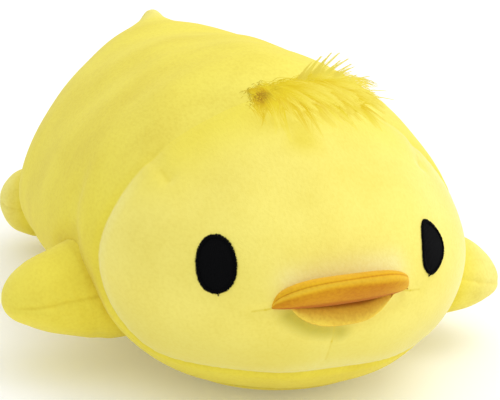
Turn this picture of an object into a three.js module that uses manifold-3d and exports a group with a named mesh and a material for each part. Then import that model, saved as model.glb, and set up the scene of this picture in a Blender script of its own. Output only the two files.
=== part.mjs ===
// A stuffed toy chick that lies on its belly: cloth panels sewn round fibre fill, with two wings and two
// feet sewn to the sides, a stuffed beak, embroidered eyes and a tuft of long fur on the crown.
// Millimetres, +Z up, the beak points along -Y. Places along the body are distances from the nose.
import * as THREE from 'three';
import { mergeVertices } from 'three/addons/utils/BufferGeometryUtils.js';
import Module from 'manifold-3d';

const wasm = await Module();
wasm.setup();

// Cloth and sewing
const CLOTH = 1.6; // thickness of the pile cloth
const BEAK_CLOTH = 1.2; // thickness of the beak's cloth
const SEAM = 0.3; // gap along every seam and under every sewn-on piece
const SETTLE = 0.5; // how far the belly is flattened by the toy's weight

// Body and head, one sewn form
const BODY_LENGTH = 433; // nose to rump
const HEAD_WIDTH = 232;
const BODY_WIDTH = 220;
const HEAD_HEIGHT = 178;
const BODY_HEIGHT = 152;
const NOSE_LEVEL = 81; // height of the mouth, where the face is widest
const RUMP_LEVEL = 48; // height of the widest line at the rump
const NECK_START = 141; // the head's size runs to here
const NECK_END = 378; // the body's size begins here
const FACE_ROUND_SIDE = 175; // length over which the face rounds off to the sides
const FACE_ROUND_TOP = 161; // over the crown
const FACE_ROUND_CHIN = 99; // under the chin
const RUMP_ROUND_SIDE = 145;
const RUMP_ROUND_TOP = 95;
const RUMP_ROUND_BELLY = 100;
const ROOF_POWER = 1.76; // superellipse power of a section above its widest line
const BELLY_POWER = 2.1; // and below it
const FACE_POWER_SIDE = 2.3; // power of the rounding towards the face
const FACE_POWER_TOP = 1.75;
const FACE_POWER_CHIN = 1.8;
const RUMP_POWER_SIDE = 1.7; // power of the rounding towards the rump
const RUMP_POWER_TOP = 2;
const RUMP_POWER_BELLY = 2;
const BODY_RINGS = 20;
const BODY_SIDES = 26;

// Tail, a small point drawn out of the back's cloth
const TAIL_AT = 384;
const TAIL_LEVEL = 116; // height of its foot, inside the body
const TAIL_LENGTH = 36;
const TAIL_LEAN = 32; // degrees back from upright
const TAIL_FOOT_RADIUS = 41;
const TAIL_TIP_RADIUS = 6;
const TAIL_FLANK_POWER = 1.3; // how hollow its flanks are
const TAIL_RINGS = 5;
const TAIL_SIDES = 10;

// Seams between the body's panels
const FACE_SEAM_AT = 102; // the face panel's edge over the crown and sides
const FACE_SEAM_TURN = 42; // length of its turn towards the chin
const FACE_SEAM_TURN_LEVEL = 100; // where the turn begins
const FACE_SEAM_CHEEK_LEVEL = 31; // lowest level, under the cheeks
const FACE_SEAM_CHIN_LEVEL = 36; // level at the middle of the chin
const FACE_SEAM_STEPS = 8;
const BELLY_SEAM_LEVEL = 12;

// Wings
const WING_AT = 141;
const WING_LEVEL = 47; // height of the root
const WING_REACH = 44; // root to tip
const WING_LENGTH = 76; // along the body
const WING_THICK = 46;
const WING_DROOP = 10; // degrees below level
const WING_SWEEP = 0; // degrees backwards
const WING_UP = 25; // degrees the wing lifts
const WING_DOWN = 10; // degrees it presses down

// Feet
const FOOT_AT = 353;
const FOOT_LEVEL = 33;
const FOOT_REACH = 25;
const FOOT_LENGTH = 52;
const FOOT_THICK = 45;
const FOOT_DROOP = 0;
const FOOT_SWEEP = 30;
const FOOT_UP = 20;
const FOOT_DOWN = 8;

// Shape shared by the limbs
const LIMB_SINK = 24; // how far a limb's form runs into the body before it is cut
const LIMB_TAPER = 0.22; // share of its width lost from root to tip
const LIMB_TIP_ROUND = 0.62; // share of its reach that rounds off
const LIMB_POWER = 2.1;
const LIMB_RINGS = 7;
const LIMB_SIDES = 12;
const RELIEF_STEPS = 4; // steps of the turn that the root is cut clear for

// Beak
const BILL_SINK = 16;
const BILL_POWER = 2.6; // power of the bills' outline
const BILL_POINT = 0.7; // under 1, how full the outline stays towards its corners
const BILL_RINGS = 10;
const BILL_SIDES = 10;
const UPPER_BILL_WIDTH = 77;
const UPPER_BILL_REACH = 25;
const UPPER_BILL_THICK = 14;
const UPPER_BILL_TILT = 32; // degrees up
const LOWER_BILL_WIDTH = 58;
const LOWER_BILL_REACH = 10;
const LOWER_BILL_THICK = 9;
const LOWER_BILL_TILT = 30; // degrees down

// Eyes
const EYE_SPACING = 121;
const EYE_LEVEL = 97.5;
const EYE_WIDTH = 23.5;
const EYE_HEIGHT = 32;
const EYE_LEAN = 19; // degrees that the top leans outwards
const EYE_THICK = 1.2;
const EYE_SIDES = 16;

// Tuft
const TUFT_BACKING_WIDTH = 40;
const TUFT_BACKING_DEPTH = 22;
const TUFT_BACKING_THICK = 1.2;
const TUFT_WIDTH = 72;
const TUFT_DEPTH = 58;
const TUFT_HEIGHT = 13;
const TUFT_LEAN = 22; // degrees, the crown's slope towards the face
const TUFT_AHEAD = 7; // how far the fur's middle lies in front of the seam
const TUFT_ASIDE = 17; // and towards the toy's left
const TUFT_RINGS = 7;
const TUFT_SIDES = 12;

// Room around the toy that the cutting blocks reach into
const ROOM = 700;

// Halvings of the search for a place on the face
const HALVINGS = 40;

const faceCloth = new THREE.MeshStandardMaterial({ color: 0xf8ea7d, roughness: 0.95, metalness: 0 });
const bodyCloth = new THREE.MeshStandardMaterial({ color: 0xeadd5a, roughness: 0.95, metalness: 0 });
const beakCloth = new THREE.MeshStandardMaterial({ color: 0xe7b02d, roughness: 0.9, metalness: 0 });
const fibreFill = new THREE.MeshStandardMaterial({ color: 0xf4f2ec, roughness: 1, metalness: 0 });
const eyeThread = new THREE.MeshStandardMaterial({ color: 0x0f1012, roughness: 0.55, metalness: 0 });
const furPile = new THREE.MeshStandardMaterial({ color: 0xeed852, roughness: 0.85, metalness: 0 });
const furBacking = new THREE.MeshStandardMaterial({ color: 0xc9a22c, roughness: 1, metalness: 0 });

const mix = THREE.MathUtils.lerp;
const radians = THREE.MathUtils.degToRad;
const smooth = (s) => THREE.MathUtils.smoothstep(s, 0, 1);

// Rounding from 0 at an end to 1 at full size, along a superellipse.
function crown(share, power) {
  const rest = 1 - THREE.MathUtils.clamp(share, 0, 1);
  return Math.pow(1 - Math.pow(rest, power), 1 / power);
}

const signedPower = (value, power) => Math.sign(value) * Math.pow(Math.abs(value), power);

// Closed skin over rings of points, with one pole at each end. The rings run along an axis and turn
// counterclockwise about it. The facets of a ring's second half mirror those of its first.
function loft(rings, firstPole, lastPole) {
  const sides = rings[0].length;
  const points = [firstPole, ...rings.flat(), lastPole];
  const last = points.length - 1;
  const index = [];
  for (let side = 0; side < sides; side++) {
    const next = (side + 1) % sides;
    index.push(0, 1 + next, 1 + side);
    for (let ring = 0; ring < rings.length - 1; ring++) {
      const here = 1 + ring * sides;
      const there = here + sides;
      if (side < sides / 2) {
        index.push(here + side, here + next, there + next, here + side, there + next, there + side);
      } else {
        index.push(here + side, here + next, there + side, here + next, there + next, there + side);
      }
    }
    const end = 1 + (rings.length - 1) * sides;
    index.push(end + side, end + next, last);
  }
  const geometry = new THREE.BufferGeometry().setFromPoints(points);
  geometry.setIndex(index);
  return geometry;
}

// Stations from 0 to 1 that crowd towards both ends, without the ends themselves.
function stations(count) {
  return Array.from({ length: count }, (_, i) => (1 - Math.cos((Math.PI * (i + 1)) / (count + 1))) / 2);
}

const turns = (sides) => Array.from({ length: sides }, (_, i) => (2 * Math.PI * i) / sides);

function solid(geometry) {
  const bare = geometry.clone();
  bare.deleteAttribute('normal');
  bare.deleteAttribute('uv');
  const welded = mergeVertices(bare);
  return new wasm.Manifold(new wasm.Mesh({
    numProp: 3,
    vertProperties: new Float32Array(welded.attributes.position.array),
    triVerts: new Uint32Array(welded.index.array),
  }));
}

function geometryOf(form) {
  const { vertProperties, triVerts } = form.getMesh();
  const geometry = new THREE.BufferGeometry();
  geometry.setAttribute('position', new THREE.BufferAttribute(vertProperties, 3));
  geometry.setIndex(new THREE.BufferAttribute(triVerts, 1));
  return geometry;
}

// The same form on the toy's other side.
function mirrored(form) {
  const geometry = geometryOf(form).scale(-1, 1, 1);
  const corners = geometry.index.array;
  for (let i = 0; i < corners.length; i += 3) {
    [corners[i], corners[i + 1]] = [corners[i + 1], corners[i]];
  }
  return solid(geometry);
}

const toy = new THREE.Group();

function addPiece(name, form, material) {
  const geometry = geometryOf(form);
  geometry.computeVertexNormals();
  const mesh = new THREE.Mesh(geometry, material);
  mesh.name = name;
  toy.add(mesh);
}

// Section of the body at a distance from the nose: half width, height of the widest line, and the reach
// above and below it. A form that is grown outwards, or shrunk with a negative value, keeps the same lines.
function section(at, grown) {
  const fromNose = at + grown;
  const fromRump = BODY_LENGTH - at + grown;
  const toBody = smooth((at - NECK_START) / (NECK_END - NECK_START));
  const level = mix(NOSE_LEVEL, RUMP_LEVEL, smooth(at / BODY_LENGTH));
  const half = mix(HEAD_WIDTH, BODY_WIDTH, toBody) / 2 + grown;
  const above = mix(HEAD_HEIGHT, BODY_HEIGHT, toBody) + grown - level;
  const below = level + SETTLE + grown;
  return {
    level,
    half: half * crown(fromNose / FACE_ROUND_SIDE, FACE_POWER_SIDE)
      * crown(fromRump / RUMP_ROUND_SIDE, RUMP_POWER_SIDE),
    above: above * crown(fromNose / FACE_ROUND_TOP, FACE_POWER_TOP)
      * crown(fromRump / RUMP_ROUND_TOP, RUMP_POWER_TOP),
    below: below * crown(fromNose / FACE_ROUND_CHIN, FACE_POWER_CHIN)
      * crown(fromRump / RUMP_ROUND_BELLY, RUMP_POWER_BELLY),
  };
}

function bodyForm(grown) {
  const length = BODY_LENGTH + 2 * grown;
  const rings = stations(BODY_RINGS).map((share) => {
    const at = share * length - grown;
    const { level, half, above, below } = section(at, grown);
    return turns(BODY_SIDES).map((turn) => {
      const rise = Math.cos(turn);
      const power = 2 / (rise > 0 ? ROOF_POWER : BELLY_POWER);
      const across = half * signedPower(Math.sin(turn), power);
      return new THREE.Vector3(across, at, level + (rise > 0 ? above : below) * signedPower(rise, power));
    });
  });
  const nose = new THREE.Vector3(0, -grown, NOSE_LEVEL);
  const rump = new THREE.Vector3(0, BODY_LENGTH + grown, RUMP_LEVEL);
  return solid(loft(rings, nose, rump));
}

// Distance of the body's side from the middle plane at a place and height.
function sideReach(at, height) {
  const { level, half, above, below } = section(at, 0);
  const rise = height - level;
  const power = rise > 0 ? ROOF_POWER : BELLY_POWER;
  return half * Math.pow(1 - Math.pow(Math.abs(rise) / (rise > 0 ? above : below), power), 1 / power);
}

// Distance from the nose at which the face reaches a point of its front view, found by halving.
function faceDepth(across, height) {
  let near = 0;
  let far = FACE_ROUND_SIDE;
  for (let step = 0; step < HALVINGS; step++) {
    const middle = (near + far) / 2;
    const { level, above, below } = section(middle, 0);
    const rise = height - level;
    const inHeight = Math.abs(rise) < (rise > 0 ? above : below);
    if (inHeight && sideReach(middle, height) > across) {
      far = middle;
    } else {
      near = middle;
    }
  }
  return far;
}

// Tail: a cone with hollow flanks and a round tip, its foot inside the body.
function tailForm(grown) {
  const tip = TAIL_TIP_RADIUS + grown;
  const foot = TAIL_FOOT_RADIUS + grown;
  const straight = TAIL_LENGTH - TAIL_TIP_RADIUS;
  const rings = [];
  for (let ring = 0; ring < TAIL_RINGS; ring++) {
    const share = ring / (TAIL_RINGS - 1);
    const radius = tip + (foot - tip) * Math.pow(1 - share, TAIL_FLANK_POWER);
    rings.push({ radius, height: straight * share });
  }
  rings.push({ radius: tip * Math.SQRT1_2, height: straight + tip * Math.SQRT1_2 });
  const circles = rings.map(({ radius, height }) => turns(TAIL_SIDES).map((turn) =>
    new THREE.Vector3(radius * Math.cos(turn), radius * Math.sin(turn), height)));
  const geometry = loft(circles, new THREE.Vector3(0, 0, 0), new THREE.Vector3(0, 0, straight + tip));
  geometry.rotateX(-radians(TAIL_LEAN)).translate(0, TAIL_AT, TAIL_LEVEL);
  return solid(geometry);
}

// Everything above a height.
function above(height) {
  return solid(new THREE.BoxGeometry(ROOM, 2 * ROOM, ROOM).translate(0, 0, height + ROOM / 2));
}

// The stuffed body at a depth under its skin, flat where it rests.
function stuffedBody(depth) {
  return bodyForm(-depth).add(tailForm(-depth)).intersect(above(depth));
}

// Block in front of the face seam, which is the same curve in side view on both sides: down behind the
// cheeks, round towards the chin and up a little at its middle.
function faceBlock(grown) {
  const edge = FACE_SEAM_AT + grown;
  const cheek = FACE_SEAM_CHEEK_LEVEL - grown;
  const turnStart = FACE_SEAM_AT - FACE_SEAM_TURN;
  const outline = new THREE.Shape();
  outline.moveTo(edge, ROOM);
  outline.lineTo(edge, FACE_SEAM_TURN_LEVEL);
  outline.absellipse(turnStart, FACE_SEAM_TURN_LEVEL, FACE_SEAM_TURN + grown,
    FACE_SEAM_TURN_LEVEL - cheek, 0, -Math.PI / 2, true);
  outline.quadraticCurveTo(turnStart / 2, cheek, 0, FACE_SEAM_CHIN_LEVEL - grown);
  outline.lineTo(-ROOM / 2, FACE_SEAM_CHIN_LEVEL - grown);
  outline.lineTo(-ROOM / 2, ROOM);
  const block = new THREE.ExtrudeGeometry(outline, {
    depth: ROOM, bevelEnabled: false, curveSegments: FACE_SEAM_STEPS,
  });
  const sideView = new THREE.Matrix4().makeBasis(
    new THREE.Vector3(0, 1, 0), new THREE.Vector3(0, 0, 1), new THREE.Vector3(1, 0, 0));
  return solid(block.translate(0, 0, -ROOM / 2).applyMatrix4(sideView));
}

// Body panels and fill
const skin = stuffedBody(0).subtract(stuffedBody(CLOTH));
const belowFace = skin.subtract(faceBlock(SEAM / 2));
addPiece('face_panel', skin.intersect(faceBlock(-SEAM / 2)), faceCloth);
addPiece('body_panel', belowFace.intersect(above(BELLY_SEAM_LEVEL + SEAM / 2)), bodyCloth);
addPiece('belly_panel', belowFace.subtract(above(BELLY_SEAM_LEVEL - SEAM / 2)), bodyCloth);
addPiece('body_fill', stuffedBody(CLOTH + SEAM), fibreFill);

// A limb's plump form in its own frame: it reaches along +X from inside the body, runs along Y, and its
// two panels meet in the plane Z = 0.
function limbForm({ reach, length, thick }, depth) {
  const whole = reach + LIMB_SINK - depth;
  const rings = stations(LIMB_RINGS).map((share) => {
    const out = share * whole - LIMB_SINK;
    const size = (1 - LIMB_TAPER * Math.max(out / reach, 0))
      * crown((whole - LIMB_SINK - out) / (reach * LIMB_TIP_ROUND), LIMB_POWER);
    const halfLength = Math.max(length / 2 - depth, 0) * size;
    const halfThick = Math.max(thick / 2 - depth, 0) * size;
    return turns(LIMB_SIDES).map((turn) =>
      new THREE.Vector3(out, halfLength * Math.cos(turn), halfThick * Math.sin(turn)));
  });
  return loft(rings, new THREE.Vector3(-LIMB_SINK, 0, 0), new THREE.Vector3(whole - LIMB_SINK, 0, 0));
}

// A pair of limbs. The root seam lies on the body's side, and each root is cut clear of the body at every
// step of the limb's turn about it.
function addLimbs(name, under, limb) {
  const root = new THREE.Vector3(sideReach(limb.at, limb.level), limb.at, limb.level);
  const sweep = radians(limb.sweep);
  const hinge = new THREE.Vector3(Math.sin(sweep), -Math.cos(sweep), 0);
  const place = new THREE.Matrix4().makeTranslation(root)
    .multiply(new THREE.Matrix4().makeRotationZ(sweep))
    .multiply(new THREE.Matrix4().makeRotationY(radians(limb.droop)));
  const turned = (angle) => new THREE.Matrix4().makeTranslation(root)
    .multiply(new THREE.Matrix4().makeRotationAxis(hinge, -radians(angle)))
    .multiply(new THREE.Matrix4().makeTranslation(root.clone().negate()));
  const limbSolid = (depth) => {
    const neighbour = geometryOf(bodyForm(SEAM + depth));
    let form = solid(limbForm(limb, depth).applyMatrix4(place));
    for (let step = 0; step <= RELIEF_STEPS; step++) {
      const angle = mix(-limb.down, limb.up, step / RELIEF_STEPS);
      form = form.subtract(solid(neighbour.clone().applyMatrix4(turned(angle))));
    }
    return form.subtract(solid(neighbour));
  };
  const half = (height) => solid(
    new THREE.BoxGeometry(ROOM, ROOM, ROOM).translate(0, 0, height + ROOM / 2).applyMatrix4(place));
  const cover = limbSolid(0).subtract(limbSolid(CLOTH));
  const upper = cover.intersect(half(SEAM / 2));
  const lower = cover.subtract(half(-SEAM / 2));
  const fill = limbSolid(CLOTH + SEAM);
  for (const [side, form] of [['left', (one) => one], ['right', mirrored]]) {
    addPiece(`${name}_${side}_upper`, form(upper), bodyCloth);
    addPiece(`${name}_${side}_${under}`, form(lower), bodyCloth);
    addPiece(`${name}_${side}_fill`, form(fill), fibreFill);
  }
}

addLimbs('wing', 'lower', {
  at: WING_AT, level: WING_LEVEL, reach: WING_REACH, length: WING_LENGTH, thick: WING_THICK,
  droop: WING_DROOP, sweep: WING_SWEEP, up: WING_UP, down: WING_DOWN,
});
addLimbs('foot', 'sole', {
  at: FOOT_AT, level: FOOT_LEVEL, reach: FOOT_REACH, length: FOOT_LENGTH, thick: FOOT_THICK,
  droop: FOOT_DROOP, sweep: FOOT_SWEEP, up: FOOT_UP, down: FOOT_DOWN,
});

// A bill is a pad with its root sewn along the mouth and an edge like a broad leaf. It tilts away from the
// mouth, up with side 1 or down with side -1, and follows the face's curve. It arches, so that its thin ends
// come to the mouth's corners. The last value limits the pad to one side of the seam round its edge.
const WHOLE = [-Infinity, Infinity];
const ABOVE_SEAM = [SEAM / 2, Infinity];
const BELOW_SEAM = [-Infinity, -SEAM / 2];

function billForm({ width, reach, thick, tilt, side }, depth, [lowest, highest]) {
  const halfWidth = width / 2 - depth;
  const turn = new THREE.Matrix4().makeRotationX(-side * radians(tilt));
  const edge = (share) => Math.pow(1 - Math.pow(Math.min(Math.abs(share), 1), BILL_POWER), BILL_POINT);
  const swell = (share) => Math.sqrt(edge(share));
  const placed = (across, along, height) => {
    const arch = ((thick / 2) * swell(across / (width / 2))) / Math.cos(radians(tilt)) + SEAM / 2;
    const point = new THREE.Vector3(across, along, THREE.MathUtils.clamp(height, lowest, highest));
    const root = faceDepth(Math.abs(across), NOSE_LEVEL);
    return point.applyMatrix4(turn).add(new THREE.Vector3(0, root, NOSE_LEVEL + side * arch));
  };
  const rings = stations(BILL_RINGS).map((share) => {
    const place = 2 * share - 1;
    const front = (reach - depth) * edge(place);
    const middle = (front - BILL_SINK) / 2;
    const halfDepth = (front + BILL_SINK) / 2;
    const halfThick = (thick / 2 - depth) * swell(place);
    return turns(BILL_SIDES).map((angle) =>
      placed(place * halfWidth, halfDepth * Math.cos(angle) - middle, halfThick * Math.sin(angle)));
  });
  const pad = solid(loft(rings, placed(-halfWidth, BILL_SINK / 2, 0), placed(halfWidth, BILL_SINK / 2, 0)));
  return pad.subtract(bodyForm(SEAM + depth));
}

function addBill(name, topPanel, lowPanel, bill) {
  const hollow = billForm(bill, BEAK_CLOTH, WHOLE);
  addPiece(`${name}_${topPanel}`, billForm(bill, 0, ABOVE_SEAM).subtract(hollow), beakCloth);
  addPiece(`${name}_${lowPanel}`, billForm(bill, 0, BELOW_SEAM).subtract(hollow), beakCloth);
  addPiece(`${name}_fill`, billForm(bill, BEAK_CLOTH + SEAM, WHOLE), fibreFill);
}

addBill('beak_upper', 'top', 'lining', {
  width: UPPER_BILL_WIDTH, reach: UPPER_BILL_REACH, thick: UPPER_BILL_THICK, tilt: UPPER_BILL_TILT, side: 1,
});
addBill('beak_lower', 'lining', 'under', {
  width: LOWER_BILL_WIDTH, reach: LOWER_BILL_REACH, thick: LOWER_BILL_THICK, tilt: LOWER_BILL_TILT, side: -1,
});

// A layer of sewn-on material that follows the body's surface.
function layer(thick) {
  return bodyForm(SEAM + thick).subtract(bodyForm(SEAM));
}

// Eyes: ovals of satin stitch, square to the face where they lie.
const eyeAcross = EYE_SPACING / 2;
const eyePlace = new THREE.Vector3(eyeAcross, faceDepth(eyeAcross, EYE_LEVEL), EYE_LEVEL);
const eyeSide = (faceDepth(eyeAcross + EYE_THICK, EYE_LEVEL) - eyePlace.y) / EYE_THICK;
const eyeRise = (faceDepth(eyeAcross, EYE_LEVEL + EYE_THICK) - eyePlace.y) / EYE_THICK;
const eyeFacing = new THREE.Vector3(eyeSide, -1, eyeRise).normalize();
const eyeFrame = new THREE.Matrix4().lookAt(eyeFacing, new THREE.Vector3(), new THREE.Vector3(0, 0, 1));
const eyeOval = new THREE.CylinderGeometry(1, 1, EYE_WIDTH, EYE_SIDES).rotateX(Math.PI / 2)
  .scale(EYE_WIDTH / 2, EYE_HEIGHT / 2, 1)
  .rotateZ(-radians(EYE_LEAN))
  .applyMatrix4(eyeFrame)
  .translate(eyePlace.x, eyePlace.y, eyePlace.z);
const leftEye = solid(eyeOval).intersect(layer(EYE_THICK));
addPiece('eye_left', leftEye, eyeThread);
addPiece('eye_right', mirrored(leftEye), eyeThread);

// Tuft: a knitted strip sewn over the face seam, under a mound of fur that is combed towards the face and
// falls with the crown to both sides.
function backingBlock(grown) {
  const block = new THREE.BoxGeometry(
    TUFT_BACKING_WIDTH + 2 * grown, TUFT_BACKING_DEPTH + 2 * grown, HEAD_HEIGHT);
  return solid(block.translate(0, FACE_SEAM_AT, HEAD_HEIGHT));
}

function tuftMound() {
  const at = FACE_SEAM_AT - TUFT_AHEAD;
  const { level, half, above } = section(at, 0);
  const crownHeight = (across) => above * crown(1 - Math.abs(across + TUFT_ASIDE) / half, ROOF_POWER);
  const rings = stations(TUFT_RINGS).map((share) => {
    const across = (2 * share - 1) * (TUFT_WIDTH / 2);
    const size = crown(2 * Math.min(share, 1 - share), 2);
    return turns(TUFT_SIDES).map((turn) => new THREE.Vector3(
      across,
      (TUFT_DEPTH / 2) * size * Math.cos(turn),
      TUFT_HEIGHT * size * Math.sin(turn) + crownHeight(across) - above));
  });
  const end = (across) => new THREE.Vector3(across, 0, crownHeight(across) - above);
  const mound = loft(rings, end(-TUFT_WIDTH / 2), end(TUFT_WIDTH / 2)).rotateX(radians(TUFT_LEAN));
  return solid(mound.translate(TUFT_ASIDE, at, level + above));
}

addPiece('tuft_backing', backingBlock(0).intersect(layer(TUFT_BACKING_THICK)), furBacking);
const overBacking = backingBlock(SEAM).intersect(bodyForm(2 * SEAM + TUFT_BACKING_THICK));
addPiece('tuft_pile', tuftMound().subtract(bodyForm(SEAM)).subtract(overBacking), furPile);

// The origin is under the middle of the toy's box.
toy.position.y = -new THREE.Box3().setFromObject(toy).getCenter(new THREE.Vector3()).y;

export default toy;
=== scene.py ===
"""A plush chick that lies on its belly, dressed piece by piece in the order in which it is sewn together.
Metres, +Z up, the beak points along -Y. Places along the body are distances from the nose."""

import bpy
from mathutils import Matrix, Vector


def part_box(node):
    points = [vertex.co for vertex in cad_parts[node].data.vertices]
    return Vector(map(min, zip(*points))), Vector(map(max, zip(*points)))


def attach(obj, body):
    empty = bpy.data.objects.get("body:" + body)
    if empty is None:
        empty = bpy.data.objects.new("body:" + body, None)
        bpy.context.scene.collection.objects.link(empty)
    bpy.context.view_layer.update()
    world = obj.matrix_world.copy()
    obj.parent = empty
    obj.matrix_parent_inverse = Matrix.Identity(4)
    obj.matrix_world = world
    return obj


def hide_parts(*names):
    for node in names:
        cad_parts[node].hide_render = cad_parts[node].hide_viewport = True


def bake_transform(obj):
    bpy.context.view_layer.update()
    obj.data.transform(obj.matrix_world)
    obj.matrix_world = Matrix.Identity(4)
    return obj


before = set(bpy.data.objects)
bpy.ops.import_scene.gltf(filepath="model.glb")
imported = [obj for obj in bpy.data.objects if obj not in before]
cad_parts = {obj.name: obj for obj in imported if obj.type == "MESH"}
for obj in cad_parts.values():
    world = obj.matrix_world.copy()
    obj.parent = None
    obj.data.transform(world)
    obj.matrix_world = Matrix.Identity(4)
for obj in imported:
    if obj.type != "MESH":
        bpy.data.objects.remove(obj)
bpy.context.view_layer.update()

from types import SimpleNamespace

import bmesh
import bpy
import numpy as np
from mathutils import Quaternion, Vector

scene = bpy.context.scene

# Body bag
# Head and body are one bag of short-pile plush cloth: a face panel, a body panel and a belly panel, sewn
# together inside out, turned and stuffed. Here is the bag's form, with the tail drawn out of the back.
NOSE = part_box("face_panel")[0].y
BODY_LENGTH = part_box("body_panel")[1].y - NOSE
HEAD_WIDTH, BODY_WIDTH = 0.232, 0.220
HEAD_HEIGHT, BODY_HEIGHT = 0.178, 0.152
NOSE_LEVEL, RUMP_LEVEL = 0.081, 0.048
NECK_START, NECK_END = 0.141, 0.378
FACE_ROUND_SIDE, FACE_ROUND_TOP, FACE_ROUND_CHIN = 0.175, 0.161, 0.099
FACE_POWER_SIDE, FACE_POWER_TOP, FACE_POWER_CHIN = 2.3, 1.75, 1.8
RUMP_ROUND_SIDE, RUMP_ROUND_TOP, RUMP_ROUND_BELLY = 0.145, 0.095, 0.100
RUMP_POWER_SIDE, RUMP_POWER_TOP, RUMP_POWER_BELLY = 1.7, 2.0, 2.0
ROOF_POWER, BELLY_POWER = 1.76, 2.1
SETTLE = 0.0005
FACE_SEAM_AT = 0.102
FACE_SEAM_TURN, FACE_SEAM_TURN_LEVEL = 0.042, 0.100
FACE_SEAM_CHEEK_LEVEL, FACE_SEAM_CHIN_LEVEL = 0.031, 0.036
FACE_CROWDING, BODY_CROWDING = 0.5, 0.3
RIDGE_SOFTENING = 0.07
SEAM_HALVINGS, MERIDIAN_STEPS = 40, 400
TAIL_AT, TAIL_LEVEL, TAIL_LENGTH, TAIL_LEAN = 0.384, 0.116, 0.0325, np.radians(32)
TAIL_AXIS = np.array([0, np.sin(TAIL_LEAN), np.cos(TAIL_LEAN)])
TAIL_ROUND, TAIL_SPREAD, TAIL_ROOT = 0.009, 0.0118, 0.03
TAIL_NUB, TAIL_NUB_HEIGHT = 0.0075, 0.0034


def rounding(share, power):
    """A superellipse quarter: 0 at an end, 1 at full size."""
    rest = 1 - np.clip(share, 0, 1)
    return (1 - rest**power) ** (1 / power)


def ease(share):
    """A smooth step from 0 to 1."""
    share = np.clip(share, 0, 1)
    return share * share * (3 - 2 * share)


def bell(gap, width, power=2):
    """A Gaussian of the gap, 1 at nothing and small beyond the width; a higher power makes it flatter."""
    return np.exp(-((gap / width) ** power))


def signed_power(value, power):
    """The power of a value's size, with the value's sign."""
    return np.sign(value) * np.abs(value) ** power


def section(place):
    """Half width, height of the widest line, and reach above and below it, at distances from the nose."""
    from_rump = BODY_LENGTH - place
    to_body = ease((place - NECK_START) / (NECK_END - NECK_START))
    level = NOSE_LEVEL + (RUMP_LEVEL - NOSE_LEVEL) * ease(place / BODY_LENGTH)
    width = HEAD_WIDTH + (BODY_WIDTH - HEAD_WIDTH) * to_body
    height = HEAD_HEIGHT + (BODY_HEIGHT - HEAD_HEIGHT) * to_body
    half = width / 2 * rounding(place / FACE_ROUND_SIDE, FACE_POWER_SIDE)
    half = half * rounding(from_rump / RUMP_ROUND_SIDE, RUMP_POWER_SIDE)
    above = (height - level) * rounding(place / FACE_ROUND_TOP, FACE_POWER_TOP)
    above = above * rounding(from_rump / RUMP_ROUND_TOP, RUMP_POWER_TOP)
    below = (level + SETTLE) * rounding(place / FACE_ROUND_CHIN, FACE_POWER_CHIN)
    below = below * rounding(from_rump / RUMP_ROUND_BELLY, RUMP_POWER_BELLY)
    return half, level, above, below


def bag(place, turn):
    """The bag's skin: at each distance from the nose a ring of two half superellipses, x following the sine
    and z the cosine of the turn from straight up, flat where the bag rests."""
    half, level, above, below = section(place)
    rise = np.cos(turn)
    power = 2 / np.where(rise > 0, ROOF_POWER, BELLY_POWER)
    across = half * signed_power(np.sin(turn), power)
    height = level + np.where(rise > 0, above, below) * signed_power(rise, power)
    return np.stack([across, NOSE + place + 0 * across, np.maximum(height, 0)], -1)


def seam_place(turn):
    """Distance from the nose at which each meridian crosses the face seam, found by halving. In side view
    the seam drops straight behind the cheeks, turns in a quarter ellipse and rises a little at the chin."""
    near = np.zeros_like(turn)
    far = np.full_like(turn, FACE_SEAM_AT)
    turn_start = FACE_SEAM_AT - FACE_SEAM_TURN
    for _ in range(SEAM_HALVINGS):
        middle = (near + far) / 2
        round_share = np.clip((middle - turn_start) / FACE_SEAM_TURN, 0, 1)
        cheek_drop = (FACE_SEAM_TURN_LEVEL - FACE_SEAM_CHEEK_LEVEL) * np.sqrt(1 - round_share**2)
        chin_share = np.clip(1 - middle / turn_start, 0, 1)
        chin_rise = (FACE_SEAM_CHIN_LEVEL - FACE_SEAM_CHEEK_LEVEL) * chin_share**2
        lowest = FACE_SEAM_TURN_LEVEL - cheek_drop + chin_rise
        inside = bag(middle, turn)[..., 2] > lowest
        near = np.where(inside, middle, near)
        far = np.where(inside, far, middle)
    return far


def run_lengths(points):
    """Distance of each point of a grid from the first of its column, along the column."""
    strides = np.linalg.norm(np.diff(points, axis=0), axis=-1)
    return np.vstack([np.zeros(points.shape[1]), np.cumsum(strides, 0)])


def meridian_places(start, end, turn, shares):
    """Distances from the nose that cut each meridian, from start to end, at given shares of its length."""
    steps = (1 - np.cos(np.pi * np.linspace(0, 1, MERIDIAN_STEPS)[:, None])) / 2
    places = start + (end - start) * steps
    lengths = run_lengths(bag(places, turn))
    lengths /= lengths[-1]
    return np.stack([np.interp(shares, lengths[:, j], places[:, j]) for j in range(len(turn))], 1)


def soften_rings(points, width):
    """Rounds the ridges where ring halves meet: each ring's Fourier terms fade as a Gaussian of their
    order."""
    terms = np.fft.rfft(points, axis=1)
    orders = np.arange(terms.shape[1])[None, :, None]
    return np.fft.irfft(terms * np.exp(-((orders * width) ** 2) / 2), points.shape[1], axis=1)


def full_turn(count):
    """Evenly spaced angles round a full turn."""
    return 2 * np.pi * np.arange(count) / count


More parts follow.
